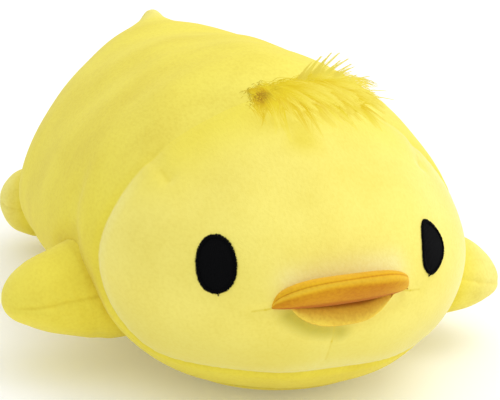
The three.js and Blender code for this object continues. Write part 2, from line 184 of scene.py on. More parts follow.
def bag_grid(face_rows, body_rows, columns):
    """The whole bag as rows from the nose over the face seam to the rump, closer together at the seam, and
    columns that turn from straight up. The seam is row face_rows - 1."""
    turn = full_turn(columns)
    seam = seam_place(turn)
    step = np.linspace(0, 1, face_rows)
    face = meridian_places(0 * seam, seam, turn, step + FACE_CROWDING * step * (1 - step))
    step = np.linspace(0, 1, body_rows)
    rest = meridian_places(seam, BODY_LENGTH + 0 * seam, turn, step - BODY_CROWDING * step * (1 - step))
    points = bag(np.vstack([face, rest[1:]]), turn)
    points[[0, -1]] = points[[0, -1]].mean(1, keepdims=True)
    points = soften_rings(points, RIDGE_SOFTENING)
    points[..., 2] = np.maximum(points[..., 2], 0)
    return points


def with_tail(points):
    """Draws the tail out of the back: a lift along the tail's axis that falls off from it like a soft cone,
    with a small round nub on its end."""
    offset = points - [0, NOSE + TAIL_AT, TAIL_LEVEL]
    height = offset @ TAIL_AXIS
    apart = np.linalg.norm(offset - height[..., None] * TAIL_AXIS, axis=-1)
    flank = np.hypot(apart, TAIL_ROUND) - TAIL_ROUND
    at_axis = height[np.unravel_index(np.argmin(apart + (height < 0)), apart.shape)]
    lift = (TAIL_LENGTH - at_axis) * np.exp(-flank / TAIL_SPREAD) + TAIL_NUB_HEIGHT * bell(apart, TAIL_NUB, 4)
    return points + (lift * ease((height + TAIL_ROOT) / TAIL_ROOT))[..., None] * TAIL_AXIS


# Sewn places
# Where limbs, darts and the mouth are sewn, thread pulls the cloth in, and the stuffing swells between.
# Points are in the frame, and the right side mirrors the left. A pull is a path, its depth and its width.
WING = SimpleNamespace(
    at=0.141, level=0.047, reach=0.044, length=0.076, thick=0.045, droop=np.radians(8.5), sweep=0.0,
    root_length=0.066, root_top=0.031, root_bottom=0.034, under=0.84,
    seam_root=0.0065, seam_tip=0.002, seam_bow=0.0015, seam_shade=0.3, painted_sheen=0.05)
FOOT = SimpleNamespace(
    at=0.353, level=0.033, reach=0.025, length=0.052, thick=0.045, droop=0.0, sweep=np.radians(30),
    root_length=0.052, root_top=0.023, root_bottom=0.023, under=1.0,
    seam_root=0.0, seam_tip=0.0, seam_bow=0.0, seam_shade=0.1, painted_sheen=0.4)
ROOT_CREASE, ROOT_CREASE_WIDTH = 0.0022, 0.008
ROOT_PRESS, ROOT_NEAR = 0.006, 0.03
SEAM_DEPTH, SEAM_WIDTH, CROWN_SLACK = 0.0014, 0.0034, 0.88
BELLY_SEAM_LEVEL, BELLY_SEAM_DEPTH, BELLY_SEAM_WIDTH = 0.012, 0.0012, 0.0022
PUCKER, PUCKER_PITCH, PUCKER_REACH, PUCKER_START = 0.00022, 0.0085, 0.009, 0.003
UNEVEN, UNEVEN_WAVES, UNEVEN_SHORTEST, UNEVEN_LONGEST = 0.0004, 28, 0.035, 0.09
TEMPLE_DART = np.array([[0.0775, -0.106, 0.1362], [0.0764, -0.118, 0.134], [0.0748, -0.128, 0.1315]])
TEMPLE_DIMPLE = TEMPLE_DART[-1:]
MOUTH_SLIT = np.array([[0.036, -0.2008, 0.0805], [0.041, -0.199, 0.0795], [0.047, -0.196, 0.0785]])
UNDER_BILL = np.array([[-0.025, -0.2025, 0.077], [0.004, -0.205, 0.0665], [0.034, -0.2005, 0.078]])
CHIN_SEAM = np.array([[0, -0.204, 0.0675], [-0.001, -0.1995, 0.056], [-0.001, -0.191, 0.0425]])
SIDE_FOLD = np.array([[0.114, -0.068, 0.079], [0.1125, -0.062, 0.088], [0.1095, -0.054, 0.098]])
SIDE_PULLS = ((TEMPLE_DART, 0.0013, 0.0045), (TEMPLE_DIMPLE, 0.0010, 0.0045))
MIDDLE_PULLS = ((CHIN_SEAM, 0.0008, 0.0028), (UNDER_BILL, 0.0018, 0.0055))
SLIT_DEPTH, SLIT_WIDTH = 0.0010, 0.0035
FOLD_DEPTH, FOLD_FRONT_WIDTH, FOLD_BACK_WIDTH = 0.0028, 0.011, 0.020
BEAK_ASIDE, SLIT_ROLL = 0.0022, np.radians(3)
PATH_STEPS = 24
MIRROR = np.array([-1, 1, 1])


def unit(vectors):
    """Vectors brought to length 1."""
    return vectors / np.maximum(np.linalg.norm(vectors, axis=-1, keepdims=True), 1e-12)


def outward(points):
    """Unit normals of a grid of closed rings, from the differences along its rows and columns."""
    along = np.gradient(points, axis=0)
    around = np.roll(points, -1, 1) - np.roll(points, 1, 1)
    normal = np.cross(around, along)
    for end, inner in ((0, 1), (-1, -2)):
        if np.ptp(points[end], axis=0).max() < 1e-6:
            normal[end] = normal[inner].mean(0)
    return unit(normal)


def side_of_bag(place, height):
    """Distance of the bag's side from the middle plane at a place and height."""
    half, level, above, below = section(place)
    rise = height - level
    power = np.where(rise > 0, ROOF_POWER, BELLY_POWER)
    return half * (1 - np.abs(rise / np.where(rise > 0, above, below)) ** power) ** (1 / power)


def limb_frame(limb):
    """The limb's root on the bag's left side, and its axes as rows: out along the limb, along its length
    and up through its thickness."""
    root = np.array([side_of_bag(limb.at, limb.level), NOSE + limb.at, limb.level])
    sweep, droop = limb.sweep, limb.droop
    along = np.array([-np.sin(sweep), np.cos(sweep), 0])
    out = np.array([np.cos(droop) * np.cos(sweep), np.cos(droop) * np.sin(sweep), -np.sin(droop)])
    return root, np.array([out, along, np.cross(out, along)])


def gap_to(points, path):
    """Distance of each point from a short path, taken at close steps along it."""
    steps = np.linspace(0, len(path) - 1, PATH_STEPS if len(path) > 1 else 1)
    marks = np.stack([np.interp(steps, np.arange(len(path)), path[:, k]) for k in range(3)], 1)
    gaps = np.full(points.shape[:-1], 1.0)
    for mark in marks:
        gaps = np.minimum(gaps, np.linalg.norm(points - mark, axis=-1))
    return gaps


def mouth_slit(side):
    """The slit at one corner of the mouth, which sits a little aside and turned, as the beak does."""
    slit = MOUTH_SLIT * side + [BEAK_ASIDE, 0, 0]
    return slit + np.outer(slit[:, 0] * np.tan(SLIT_ROLL), [0, 0, 1])


def unevenness(points, seed):
    """Soft lumps of the stuffing: a sum of plane waves of random direction, 35 to 90 mm long."""
    draw = np.random.default_rng(seed)
    heading = unit(draw.normal(size=(UNEVEN_WAVES, 3)))
    heading *= 2 * np.pi / draw.uniform(UNEVEN_SHORTEST, UNEVEN_LONGEST, (UNEVEN_WAVES, 1))
    phase = draw.uniform(0, 2 * np.pi, UNEVEN_WAVES)
    return np.cos(points @ heading.T + phase).sum(-1) / np.sqrt(UNEVEN_WAVES / 2)


def root_crease(points, limb):
    """How far the cloth is drawn in round a limb's root seam, and pressed in under the limb itself."""
    depth = np.zeros(points.shape[:-1])
    root, axes = limb_frame(limb)
    for side in (1, MIRROR):
        out, along, up = np.moveaxis((points * side - root) @ axes.T, -1, 0)
        half_thick = np.where(up > 0, limb.root_top, limb.root_bottom)
        share = np.hypot(along / (limb.root_length / 2), up / half_thick)
        edge = bell((share - 1) * limb.root_top, ROOT_CREASE_WIDTH)
        depth += bell(out, ROOT_NEAR) * (ROOT_CREASE * edge + ROOT_PRESS * ease((1 - share) / 0.3))
    return depth


def dented(points, seam_row):
    """The swollen skin with its seams, darts, creases and lumps pressed in along its normals."""
    lengths = run_lengths(points)
    to_seam = np.abs(lengths - lengths[seam_row])
    hoop = np.linalg.norm(points[seam_row] - np.roll(points[seam_row], 1, 0), axis=-1).cumsum()
    turn = full_turn(points.shape[1])
    held = 1 - CROWN_SLACK * ease((np.cos(turn) - 0.35) / 0.5)
    depth = SEAM_DEPTH * held * bell(to_seam, SEAM_WIDTH)
    wander = 1.7 * np.sin(5 * turn + 0.4) + 1.1 * np.sin(11 * turn + 2)
    ripple = np.sin(2 * np.pi * hoop / PUCKER_PITCH + wander)
    depth += PUCKER * held * ripple * np.exp(-to_seam / PUCKER_REACH) * ease(to_seam / PUCKER_START)
    belly = bell(points[..., 2] - BELLY_SEAM_LEVEL, BELLY_SEAM_WIDTH)
    depth += BELLY_SEAM_DEPTH * belly * ease((to_seam - 0.01) / 0.02)
    pulls = list(MIDDLE_PULLS)
    behind = points[..., 1] - np.interp(points[..., 2], SIDE_FOLD[:, 2], SIDE_FOLD[:, 1])
    fold_width = FOLD_FRONT_WIDTH + (FOLD_BACK_WIDTH - FOLD_FRONT_WIDTH) * ease(0.5 + behind / 0.02)
    for side in (1, MIRROR):
        pulls += [(path * side, deep, width) for path, deep, width in SIDE_PULLS]
        pulls += [(mouth_slit(side), SLIT_DEPTH, SLIT_WIDTH), (SIDE_FOLD * side, FOLD_DEPTH, fold_width)]
    for path, deep, width in pulls:
        depth += deep * bell(gap_to(points, path), width)
    depth += root_crease(points, WING) + root_crease(points, FOOT)
    lift = UNEVEN * unevenness(points, 3) * ease((points[..., 2] - 0.004) / 0.02)
    moved = points + (lift - depth)[..., None] * outward(points)
    moved[..., 2] = np.maximum(moved[..., 2], 0)
    return moved, to_seam


# Stuffing
# Loose polyester fibre is pushed in through a gap in the belly seam until the bag is tight. Air pressure in
# a cloth simulation stands for it: seams and limb roots are held, and the panels swell between them.
SWELL_FRAMES, SWELL_PRESSURE, SWELL_CAP = 16, 4.0, 0.0035
SWELL_SOFTENING, RESTING_LEVEL, ROOT_HELD = 0.02, 0.0015, 0.002
FACE_ROWS, BODY_ROWS, BODY_COLUMNS = 120, 168, 288
COARSE_FACE_ROWS, COARSE_BODY_ROWS, COARSE_COLUMNS = 31, 57, 96


def grid_faces(rows, columns, first_pole, last_pole):
    """Corner lists of a grid of closed rings, with a fan of triangles at a pole."""
    start = 1 if first_pole else 0
    rings = rows - start - (1 if last_pole else 0)
    here = start + np.arange(rings - 1)[:, None] * columns + np.arange(columns)
    beside = start + np.arange(rings - 1)[:, None] * columns + (np.arange(columns) + 1) % columns
    quads = np.stack([here, beside, beside + columns, here + columns], -1).reshape(-1, 4)
    ring = np.arange(columns)
    following = (ring + 1) % columns
    fans = []
    if first_pole:
        fans.append(np.stack([0 * ring, start + following, start + ring], 1))
    if last_pole:
        base = start + (rings - 1) * columns
        fans.append(np.stack([base + ring, base + following, 0 * ring + base + columns], 1))
    return quads, np.vstack(fans) if fans else np.zeros((0, 3), int)


def mesh_of(name, points, quads, triangles):
    """A smooth mesh of corner points, four-sided faces and triangles, put in as whole arrays. Open edges are
    sharp, so that a cut edge of cloth does not bend the light on the skin beside it."""
    mesh = bpy.data.meshes.new(name)
    corners = np.concatenate([quads.ravel(), triangles.ravel()]).astype(np.int32)
    starts = np.concatenate([
        4 * np.arange(len(quads)), 4 * len(quads) + 3 * np.arange(len(triangles))]).astype(np.int32)
    mesh.vertices.add(len(points))
    mesh.vertices.foreach_set("co", np.asarray(points, np.float32).ravel())
    mesh.loops.add(len(corners))
    mesh.loops.foreach_set("vertex_index", corners)
    mesh.polygons.add(len(starts))
    mesh.polygons.foreach_set("loop_start", starts)
    mesh.update(calc_edges=True)
    mesh.validate()
    mesh.shade_smooth()
    sides = np.zeros(len(mesh.loops), np.int32)
    mesh.loops.foreach_get("edge_index", sides)
    open_edges = np.bincount(sides, minlength=len(mesh.edges)) == 1
    mesh.attributes.new("sharp_edge", "BOOLEAN", "EDGE").data.foreach_set("value", open_edges)
    return mesh


def flat_list(points, first_pole, last_pole):
    """The grid's points in one list, with one point for each pole row."""
    rows = points[1 if first_pole else 0: len(points) - (1 if last_pole else 0)]
    parts = [points[0, :1]] if first_pole else []
    parts.append(rows.reshape(-1, points.shape[-1]))
    if last_pole:
        parts.append(points[-1, :1])
    return np.vstack(parts)


def grid_parts(points, *poles):
    """A grid of closed rings as its points in one list, its quads and the fans of its poles."""
    return flat_list(points, *poles), *grid_faces(*points.shape[:2], *poles)


def swollen(points, held, cap):
    """The displacement of a closed skin under air pressure while its held points stay, never over the cap."""
    rows, columns = points.shape[:2]
    mesh = mesh_of("swelling_skin", *grid_parts(points, True, True))
    skin = bpy.data.objects.new("swelling_skin", mesh)
    scene.collection.objects.link(skin)
    sewn = skin.vertex_groups.new(name="sewn")
    sewn.add(np.flatnonzero(flat_list(held[..., None], True, True)).tolist(), 1.0, "REPLACE")
    cloth = skin.modifiers.new("cloth", "CLOTH")
    cloth.settings.vertex_group_mass = "sewn"
    cloth.settings.use_pressure = True
    cloth.settings.uniform_pressure_force = SWELL_PRESSURE
    cloth.settings.effector_weights.gravity = 0
    cloth.collision_settings.use_collision = False
    cloth.point_cache.frame_end = SWELL_FRAMES
    for step in range(1, SWELL_FRAMES + 1):
        scene.frame_set(step)
    after = skin.evaluated_get(bpy.context.evaluated_depsgraph_get()).data
    place = np.zeros(len(after.vertices) * 3, np.float32)
    after.vertices.foreach_get("co", place)
    place = place.reshape(-1, 3).astype(float)
    grid = np.empty_like(points)
    grid[0], grid[-1] = place[0], place[-1]
    grid[1:-1] = place[1:-1].reshape(rows - 2, columns, 3)
    bpy.data.objects.remove(skin)
    scene.frame_set(1)
    shift = grid - points
    size = np.linalg.norm(shift, axis=-1, keepdims=True)
    return shift * cap * np.tanh(size / cap) / np.maximum(size, 1e-9)


def finer(field, places, axis, closed):
    """A grid field between its rows or columns, by cubic convolution of the four nearest ones."""
    count = field.shape[axis]
    base = np.floor(places).astype(int)
    share = (places - base).reshape([-1 if k == axis else 1 for k in range(field.ndim)])
    total = 0
    for step in (-1, 0, 1, 2):
        pick = (base + step) % count if closed else np.clip(base + step, 0, count - 1)
        gap = np.abs(share - step)
        near = 1.5 * gap**3 - 2.5 * gap**2 + 1
        wide = -0.5 * gap**3 + 2.5 * gap**2 - 4 * gap + 2
        total = total + np.where(gap < 1, near, np.where(gap < 2, wide, 0)) * np.take(field, pick, axis)
    return total


def swelling(rough, held, cap, row_places, columns):
    """How far a fine skin swells: a rough one's displacement, read between its rows and columns."""
    swell = finer(swollen(rough, held, cap), row_places, 0, False)
    return finer(swell, np.arange(columns) * rough.shape[1] / columns, 1, True)


skin = bag_grid(FACE_ROWS, BODY_ROWS, BODY_COLUMNS)
rough = bag_grid(COARSE_FACE_ROWS, COARSE_BODY_ROWS, COARSE_COLUMNS)
held = np.zeros(rough.shape[:2], bool)
held[[0, COARSE_FACE_ROWS - 1, -1]] = True
held |= rough[..., 2] < RESTING_LEVEL
for limb in (WING, FOOT):
    held |= root_crease(rough, limb) > ROOT_HELD
face_places = np.linspace(0, COARSE_FACE_ROWS - 1, FACE_ROWS)
body_places = np.linspace(COARSE_FACE_ROWS - 1, COARSE_FACE_ROWS + COARSE_BODY_ROWS - 2, BODY_ROWS)
row_places = np.append(face_places, body_places[1:])
swell = swelling(rough, held, SWELL_CAP, row_places, BODY_COLUMNS)
skin = skin + soften_rings(swell, SWELL_SOFTENING)
skin, to_seam = dented(with_tail(skin), FACE_ROWS - 1)

# Plush cloth
# Short-pile polyester velour, shorn to a millimetre and a half: matt, with a pale bloom where it is seen
# along the surface, faint clouding where the nap lies differently, and a grain of fibre tips.
PILE_ROUGHNESS, PILE_GLOSS, PILE_SHEEN_ROUGHNESS = 0.95, 0.15, 0.4
PILE_BUMP, PILE_DEPTH = 0.3, 0.0007
CLOUD_SCALE, TIP_SCALE, FIBRE_SCALE = 22.0, 620.0, 1900.0
CLOUD_SHARE, TIP_SHARE, FIBRE_SHARE = 0.3, 0.16, 0.5


def add_node(tree, kind, settings=(), **inputs):
    """A shader node with its settings; each input is a value, or a socket to link. Numbered inputs start
    with n."""
    made = tree.nodes.new("ShaderNode" + kind)
    for name, value in dict(settings).items():
        setattr(made, name, value)
    for name, value in inputs.items():
        numbered = name[0] == "n" and name[1:].isdigit()
        socket = made.inputs[int(name[1:]) if numbered else name.replace("_", " ")]
        if isinstance(value, bpy.types.NodeSocket):
            tree.links.new(value, socket)
        else:
            socket.default_value = value
    return made


def mixed(tree, share, first, second):
    """A colour that goes from the first to the second with the share."""
    return add_node(tree, "Mix", {"data_type": "RGBA"}, n0=share, n6=first, n7=second).outputs[2]


def worked_out(tree, operation, *values, clamp=False):
    """The result of one operation on numbers."""
    numbered = {f"n{k}": value for k, value in enumerate(values)}
    settings = {"operation": operation, "use_clamp": clamp}
    return add_node(tree, "Math", settings, **numbered).outputs[0]


def kept_value(tree, name):
    """The number that a mesh keeps for each vertex under a name."""
    return add_node(tree, "Attribute", {"attribute_name": name}).outputs["Fac"]


def ranged(tree, value, low, high, first, last, **settings):
    """A number brought from the range low to high to the range first to last, and held within it."""
    return add_node(
        tree, "MapRange", settings, Value=value, n1=low, n2=high, n3=first, n4=last).outputs[0]


def new_group(name, inputs, outputs):
    """An empty shader node group with named sockets."""
    tree = bpy.data.node_groups.new(name, "ShaderNodeTree")
    for label, kind in inputs:
        tree.interface.new_socket(label, in_out="INPUT", socket_type="NodeSocket" + kind)
    for label, kind in outputs:
        tree.interface.new_socket(label, in_out="OUTPUT", socket_type="NodeSocket" + kind)
    return tree, tree.nodes.new("NodeGroupInput").outputs, tree.nodes.new("NodeGroupOutput").inputs


def short_pile_group():
    """Clouding and grain of shorn pile: a colour that drifts between a base and a deep tone, and a height."""
    tree, given, result = new_group(
        "short_pile", [("Colour", "Color"), ("Deep", "Color"), ("Crease", "Float")],
        [("Colour", "Color"), ("Height", "Float")])

    def noise(where, **inputs):
        return add_node(tree, "TexNoise", Vector=where, **inputs).outputs["Fac"]

    where = add_node(tree, "TexCoord").outputs["Object"]
    brushed = add_node(tree, "Mapping", n0=where, Scale=(1.0, 0.45, 1.0)).outputs[0]
    cloud = noise(where, Scale=CLOUD_SCALE, Detail=3.0, Roughness=0.55)
    tips = noise(brushed, Scale=TIP_SCALE, Detail=2.0)
    fibre = noise(where, Scale=FIBRE_SCALE, Detail=1.0)
    drift = ranged(tree, cloud, 0.38, 0.72, 0.0, CLOUD_SHARE)
    depth = worked_out(tree, "ADD", drift, ranged(tree, tips, 0.4, 0.7, 0.0, TIP_SHARE))
    sunk = worked_out(tree, "ADD", depth, given["Crease"], clamp=True)
    tree.links.new(mixed(tree, sunk, given["Colour"], given["Deep"]), result["Colour"])
    tree.links.new(worked_out(tree, "MULTIPLY_ADD", fibre, FIBRE_SHARE, tips), result["Height"])
    return tree


def sewn_line_group():
    """A mask of one straight sewn line: 1 on the line from Start to End, 0 beyond Width from it."""
    tree, given, result = new_group(
        "sewn_line", [("Start", "Vector"), ("End", "Vector"), ("Width", "Float")], [("Mask", "Float")])
    where = add_node(tree, "TexCoord").outputs["Object"]

    def vector(operation, **inputs):
        return add_node(tree, "VectorMath", {"operation": operation}, **inputs).outputs

    run = vector("SUBTRACT", n0=given["End"], n1=given["Start"])[0]
    offset = vector("SUBTRACT", n0=where, n1=given["Start"])[0]
    share = worked_out(
        tree, "DIVIDE", vector("DOT_PRODUCT", n0=offset, n1=run)[1], vector("DOT_PRODUCT", n0=run, n1=run)[1],
        clamp=True)
    foot = vector("SCALE", n0=run, Scale=share)[0]
    apart = vector("LENGTH", n0=vector("SUBTRACT", n0=offset, n1=foot)[0])[1]
    mask = ranged(tree, apart, 0.0, given["Width"], 1.0, 0.0, interpolation_type="SMOOTHSTEP")
    tree.links.new(mask, result["Mask"])
    return tree


SHORT_PILE = short_pile_group()
SEWN_LINE = sewn_line_group()


def new_material(name, roughness, gloss):
    """A material with its node tree and shader, of the same roughness and gloss all over."""
    made = bpy.data.materials.new(name)
    made.use_nodes = True
    shader = made.node_tree.nodes["Principled BSDF"]
    shader.inputs["Roughness"].default_value = roughness
    shader.inputs["Specular IOR Level"].default_value = gloss
    return made, made.node_tree, shader


def plush(name, colour, deep, sheen_tint, sheen, tints, lines=()):
    """Plush cloth in a colour and the deep tone of its creases. The crease attribute darkens seams and holds
    painted shade where parts meet or fold in, lines are thin sewn lines, and each tint is an attribute's name
    and the colour that it draws the cloth to."""
    made, tree, shader = new_material(name, PILE_ROUGHNESS, PILE_GLOSS)
    crease = kept_value(tree, "crease")
    for start, end, width, strength in lines:
        mask = add_node(
            tree, "Group", {"node_tree": SEWN_LINE}, Start=start, End=end, Width=width)
        crease = worked_out(tree, "MULTIPLY_ADD", mask.outputs[0], strength, crease)
    for attribute, tint in tints:
        colour = mixed(tree, kept_value(tree, attribute), colour, tint)
    pile = add_node(
        tree, "Group", {"node_tree": SHORT_PILE}, Colour=colour, Deep=deep, Crease=crease)
    relief = add_node(
        tree, "Bump", Strength=PILE_BUMP, Distance=PILE_DEPTH, Height=pile.outputs["Height"])
    tree.links.new(pile.outputs["Colour"], shader.inputs["Base Color"])
    tree.links.new(relief.outputs[0], shader.inputs["Normal"])
    shader.inputs["Sheen Weight"].default_value = sheen
    shader.inputs["Sheen Roughness"].default_value = PILE_SHEEN_ROUGHNESS
    shader.inputs["Sheen Tint"].default_value = sheen_tint
    return made


# Face panel
# A cap of paler plush over the whole face, with a dart at each temple, a seam down the chin and short slits
# where the beak's corners are sewn in. Its upper edge deepens to the body's yellow under the tuft.


def linear(red, green, blue):
    """A screen colour of 0 to 255 as linear light."""
    share = np.array([red, green, blue]) / 255
    return (*np.where(share > 0.04045, ((share + 0.055) / 1.055) ** 2.4, share / 12.92), 1.0)


FACE_YELLOW, BODY_YELLOW = linear(249, 234, 120), linear(242, 226, 80)
FACE_DEEP = linear(226, 204, 66)
# Colours of a painted highlight and of painted shade.
PAINTED_LIGHT_YELLOW, SHADED_YELLOW = linear(250, 243, 170), linear(192, 182, 66)
BLOOM = linear(255, 252, 225)
FACE_SHEEN, CLOTH = 0.6, 0.0016
LINE_WIDTH, DART_LINE_WIDTH = 0.0011, 0.0022
SEAM_SHADE, SEAM_SHADE_WIDTH, SEAM_TINT_WIDTH = 0.12, 0.002, 0.003
CROWN_FADE, CHIN_LEVEL, CHIN_FADE = 0.055, 0.074, 0.03
RIM_AT, RIM_WIDTH, RIM_WIDER = 0.007, 0.0045, 0.004
UNDER_TUFT = np.array([[-0.018, -0.1216, 0.1585], [-0.0005, -0.1305, 0.1568], [-0.002, -0.1405, 0.1522]])
OVER_BILL = np.array([[-0.024, -0.203, 0.092], [0.004, -0.205, 0.097], [0.032, -0.2, 0.0975]])
UNDER_SHADE = np.array([[-0.026, -0.2015, 0.0745], [-0.014, -0.2035, 0.066], [0.002, -0.2035, 0.0625]])
UNDER_TUFT_WIDTH, OVER_BILL_WIDTH, UNDER_SHADE_WIDTH = 0.01, 0.009, 0.0065


def point_values(mesh, name, values, *poles):
    """Keeps one number for each vertex as an attribute. A grid's values come with its poles, as its points
    do."""
    if poles:
        values = flat_list(values[..., None], *poles)
    values = np.asarray(values, np.float32).ravel()
    mesh.attributes.new(name, "FLOAT", "POINT").data.foreach_set("value", values)


def add_piece(name, mesh, material, body, slot, *nodes):
    """A finished piece that rides on a body, takes its material and stands for solids. The slot argument is
    not used.
    """
    made = bpy.data.objects.new(name, mesh)
    scene.collection.objects.link(made)
    mesh.materials.append(material)
    if body:
        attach(made, body)
    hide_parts(*nodes)
    return made


def add_skin(name, points, poles, values, *piece):
    """A finished piece made of a grid of closed rings, which keeps named numbers for its vertices."""
    mesh = mesh_of(name, *grid_parts(points, *poles))
    for label, numbers in values.items():
        point_values(mesh, label, numbers, *poles)
    return add_piece(name, mesh, *piece)


def add_cloth_thickness(piece):
    """Gives a panel its cloth's thickness, inwards from the skin."""
    wall = piece.modifiers.new("cloth_thickness", "SOLIDIFY")
    wall.thickness = CLOTH
    wall.offset = -1


def on_skin(path):
    """A path's points dropped on the skin, each along the normal of its nearest vertex."""
    vertices, normals = skin.reshape(-1, 3), outward(skin).reshape(-1, 3)
    nearest = np.linalg.norm(vertices - path[:, None], axis=-1).argmin(1)
    gap = ((path - vertices[nearest]) * normals[nearest]).sum(1, keepdims=True)
    return path - gap * normals[nearest]


turns = full_turn(BODY_COLUMNS)
face_points = skin[:FACE_ROWS]
face_lines = []
for side in (1, MIRROR):
    slit, dart = on_skin(mouth_slit(side)), on_skin(TEMPLE_DART * side)
    face_lines += [(*slit[:2], LINE_WIDTH, 0.6), (*slit[1:], LINE_WIDTH, 0.4)]
    face_lines.append((*dart[1:], DART_LINE_WIDTH, 0.35))
chin_seam = on_skin(CHIN_SEAM)
face_lines += [(*chin_seam[:2], LINE_WIDTH, 0.6), (*chin_seam[1:], LINE_WIDTH, 0.5)]
face_cloth = plush(
    "face_plush", FACE_YELLOW, FACE_DEEP, BLOOM, FACE_SHEEN, lines=face_lines,
    tints=(("deepen", BODY_YELLOW), ("rim", PAINTED_LIGHT_YELLOW), ("shaded", SHADED_YELLOW)))
# The crown's edge and the cloth under the tuft are as deep as the body. The edge below carries a painted
# highlight, stronger on the toy's left towards the key light, as does the cloth over the bill, and painted
# shade lies under the lower bill and on the chin.
upper = ease((np.cos(turns) - 0.3) / 0.55)
towards_key_light = ease(0.5 + np.sin(turns) / 2)
seam_shade = SEAM_SHADE * (1 - upper) * bell(to_seam, SEAM_SHADE_WIDTH)
deepen = np.maximum(upper * ease(1 - to_seam / CROWN_FADE), 0.9 * bell(to_seam, SEAM_TINT_WIDTH))
rim = (0.22 + 0.38 * towards_key_light) * (1 - upper) * bell(to_seam - RIM_AT, RIM_WIDTH + RIM_WIDER * towards_key_light)
under_tuft = bell(gap_to(face_points, UNDER_TUFT), UNDER_TUFT_WIDTH)
over_bill = bell(gap_to(face_points, OVER_BILL), OVER_BILL_WIDTH)
under_bill = bell(gap_to(face_points, UNDER_SHADE), UNDER_SHADE_WIDTH)
chin = ease((CHIN_LEVEL - face_points[..., 2]) / CHIN_FADE)
tints = {
    "crease": seam_shade[:FACE_ROWS] + 0.45 * under_tuft,
    "deepen": np.maximum(deepen[:FACE_ROWS], 0.8 * under_tuft),
    "rim": np.maximum(rim[:FACE_ROWS], 0.9 * over_bill),
    "shaded": np.maximum(0.85 * under_bill, 0.24 * chin)}
face_panel = add_skin(
    "face_panel_cloth", face_points, (True, False), tints, face_cloth, "body", "face_cloth", "face_panel")
add_cloth_thickness(face_panel)

# Body panel and belly panel
# The deeper yellow panel wraps the back and sides and ends in the tail. A flat oval belly panel closes the
# bag where it rests, sewn in last, with the stuffing gap ladder-stitched shut.
BODY_DEEP, BODY_SHEEN = linear(214, 186, 44), 0.17
BELLY_LINE_WIDTH, BELLY_LINE_FROM = 0.0012, 0.02
TAIL_SHEEN_WIDTH, CROWN_SHEEN_WIDTH = 0.016, 0.06


def cut_at_level(mesh, name, level, upper_part):
    """The part of a mesh above or below a level, cut through its faces."""
    work = bmesh.new()
    work.from_mesh(mesh)
    bmesh.ops.bisect_plane(
        work, geom=work.verts[:] + work.edges[:] + work.faces[:], plane_co=(0, 0, level),
        plane_no=(0, 0, 1), clear_inner=upper_part, clear_outer=not upper_part)
    part = bpy.data.meshes.new(name)
    work.to_mesh(part)
    work.free()
    part.shade_smooth()
    return part


body_cloth = plush(
    "body_plush", BODY_YELLOW, BODY_DEEP, BLOOM, BODY_SHEEN, tints=(("painted_sheen", PAINTED_LIGHT_YELLOW),))
rest_mesh = mesh_of("body_bag", *grid_parts(skin[FACE_ROWS - 1:], False, True))
root_shade = (root_crease(skin, WING) + root_crease(skin, FOOT)) / ROOT_CREASE
belly_shade = bell(skin[..., 2] - BELLY_SEAM_LEVEL, BELLY_LINE_WIDTH) * (to_seam > BELLY_LINE_FROM)
shade = np.clip(seam_shade + 0.25 * root_shade + 0.4 * belly_shade, 0, 0.8)
tail_tip = skin[FACE_ROWS:][skin[FACE_ROWS:, :, 2] > TAIL_LEVEL]
tail_tip = tail_tip[np.argmax(tail_tip @ TAIL_AXIS)]
# Painted sheen: the tail's tip and the crown beside the face seam are tinted paler, as if light grazed them.
painted_sheen = 0.6 * bell(np.linalg.norm(skin - tail_tip, axis=-1), TAIL_SHEEN_WIDTH)
painted_sheen = np.maximum(painted_sheen, 0.15 * upper * bell(to_seam, CROWN_SHEEN_WIDTH))
point_values(rest_mesh, "crease", shade[FACE_ROWS - 1:], False, True)
point_values(rest_mesh, "painted_sheen", painted_sheen[FACE_ROWS - 1:], False, True)
body_panel = add_piece(
    "body_panel_cloth", cut_at_level(rest_mesh, "body_panel_cloth", BELLY_SEAM_LEVEL, True), body_cloth,
    "body", "body_cloth", "body_panel", "body_fill")
belly_panel = add_piece(
    "belly_panel_cloth", cut_at_level(rest_mesh, "belly_panel_cloth", BELLY_SEAM_LEVEL, False), body_cloth,
    "body", "body_cloth", "belly_panel")
bpy.data.meshes.remove(rest_mesh)
for panel in (body_panel, belly_panel):
    add_cloth_thickness(panel)

# Wings and feet
# Each wing and foot is a pad of two plush panels, sewn round the edge, turned, stuffed and sewn to the bag's
# side. The cloth bends at the root, so a pad follows the body there and its own limb further out.
LEFT_WING = SimpleNamespace(
    **{**vars(WING), "level": 0.0437, "droop": np.radians(12), "reach": 0.042, "seam_shade": 0.12,
       "painted_sheen": 0.5})
LIMB_ROWS, LIMB_COLUMNS = 76, 200
COARSE_LIMB_ROWS, COARSE_LIMB_COLUMNS = 26, 40
LIMB_SINK = 0.03
LIMB_TAPER, LIMB_TIP_ROUND, LIMB_TIP_POWER = 0.22, 0.62, 2.1
LIMB_FLARE, LIMB_FLARE_SOFT = 0.016, 0.014
LIMB_EDGE_POWER = 1.15
LIMB_SEAM_DEPTH, LIMB_SEAM_WIDTH = 0.0009, 0.0015
LIMB_SWELL_CAP, LIMB_HELD = 0.0015, 0.002
LIMB_PUCKER, LIMB_PUCKER_PITCH, LIMB_PUCKER_REACH = 0.00025, 0.0075, 0.006
LIMB_DIMPLES = ((0.45, 0.007, 0.004, 0.0012), (0.36, -0.004, 0.005, 0.0014))
LIMB_FOLD = np.array([[0.001, -0.41, 0.0], [-0.001, -0.38, -0.2], [-0.004, -0.28, -0.42]])
LIMB_FOLD_DEPTH, LIMB_FOLD_WIDTH = 0.0016, 0.004
LIMB_UNEVEN, LIMB_LINE_WIDTH = 0.0006, 0.0008
ROOT_LINE_AT, ROOT_LINE_WIDTH = -0.0012, 0.0016


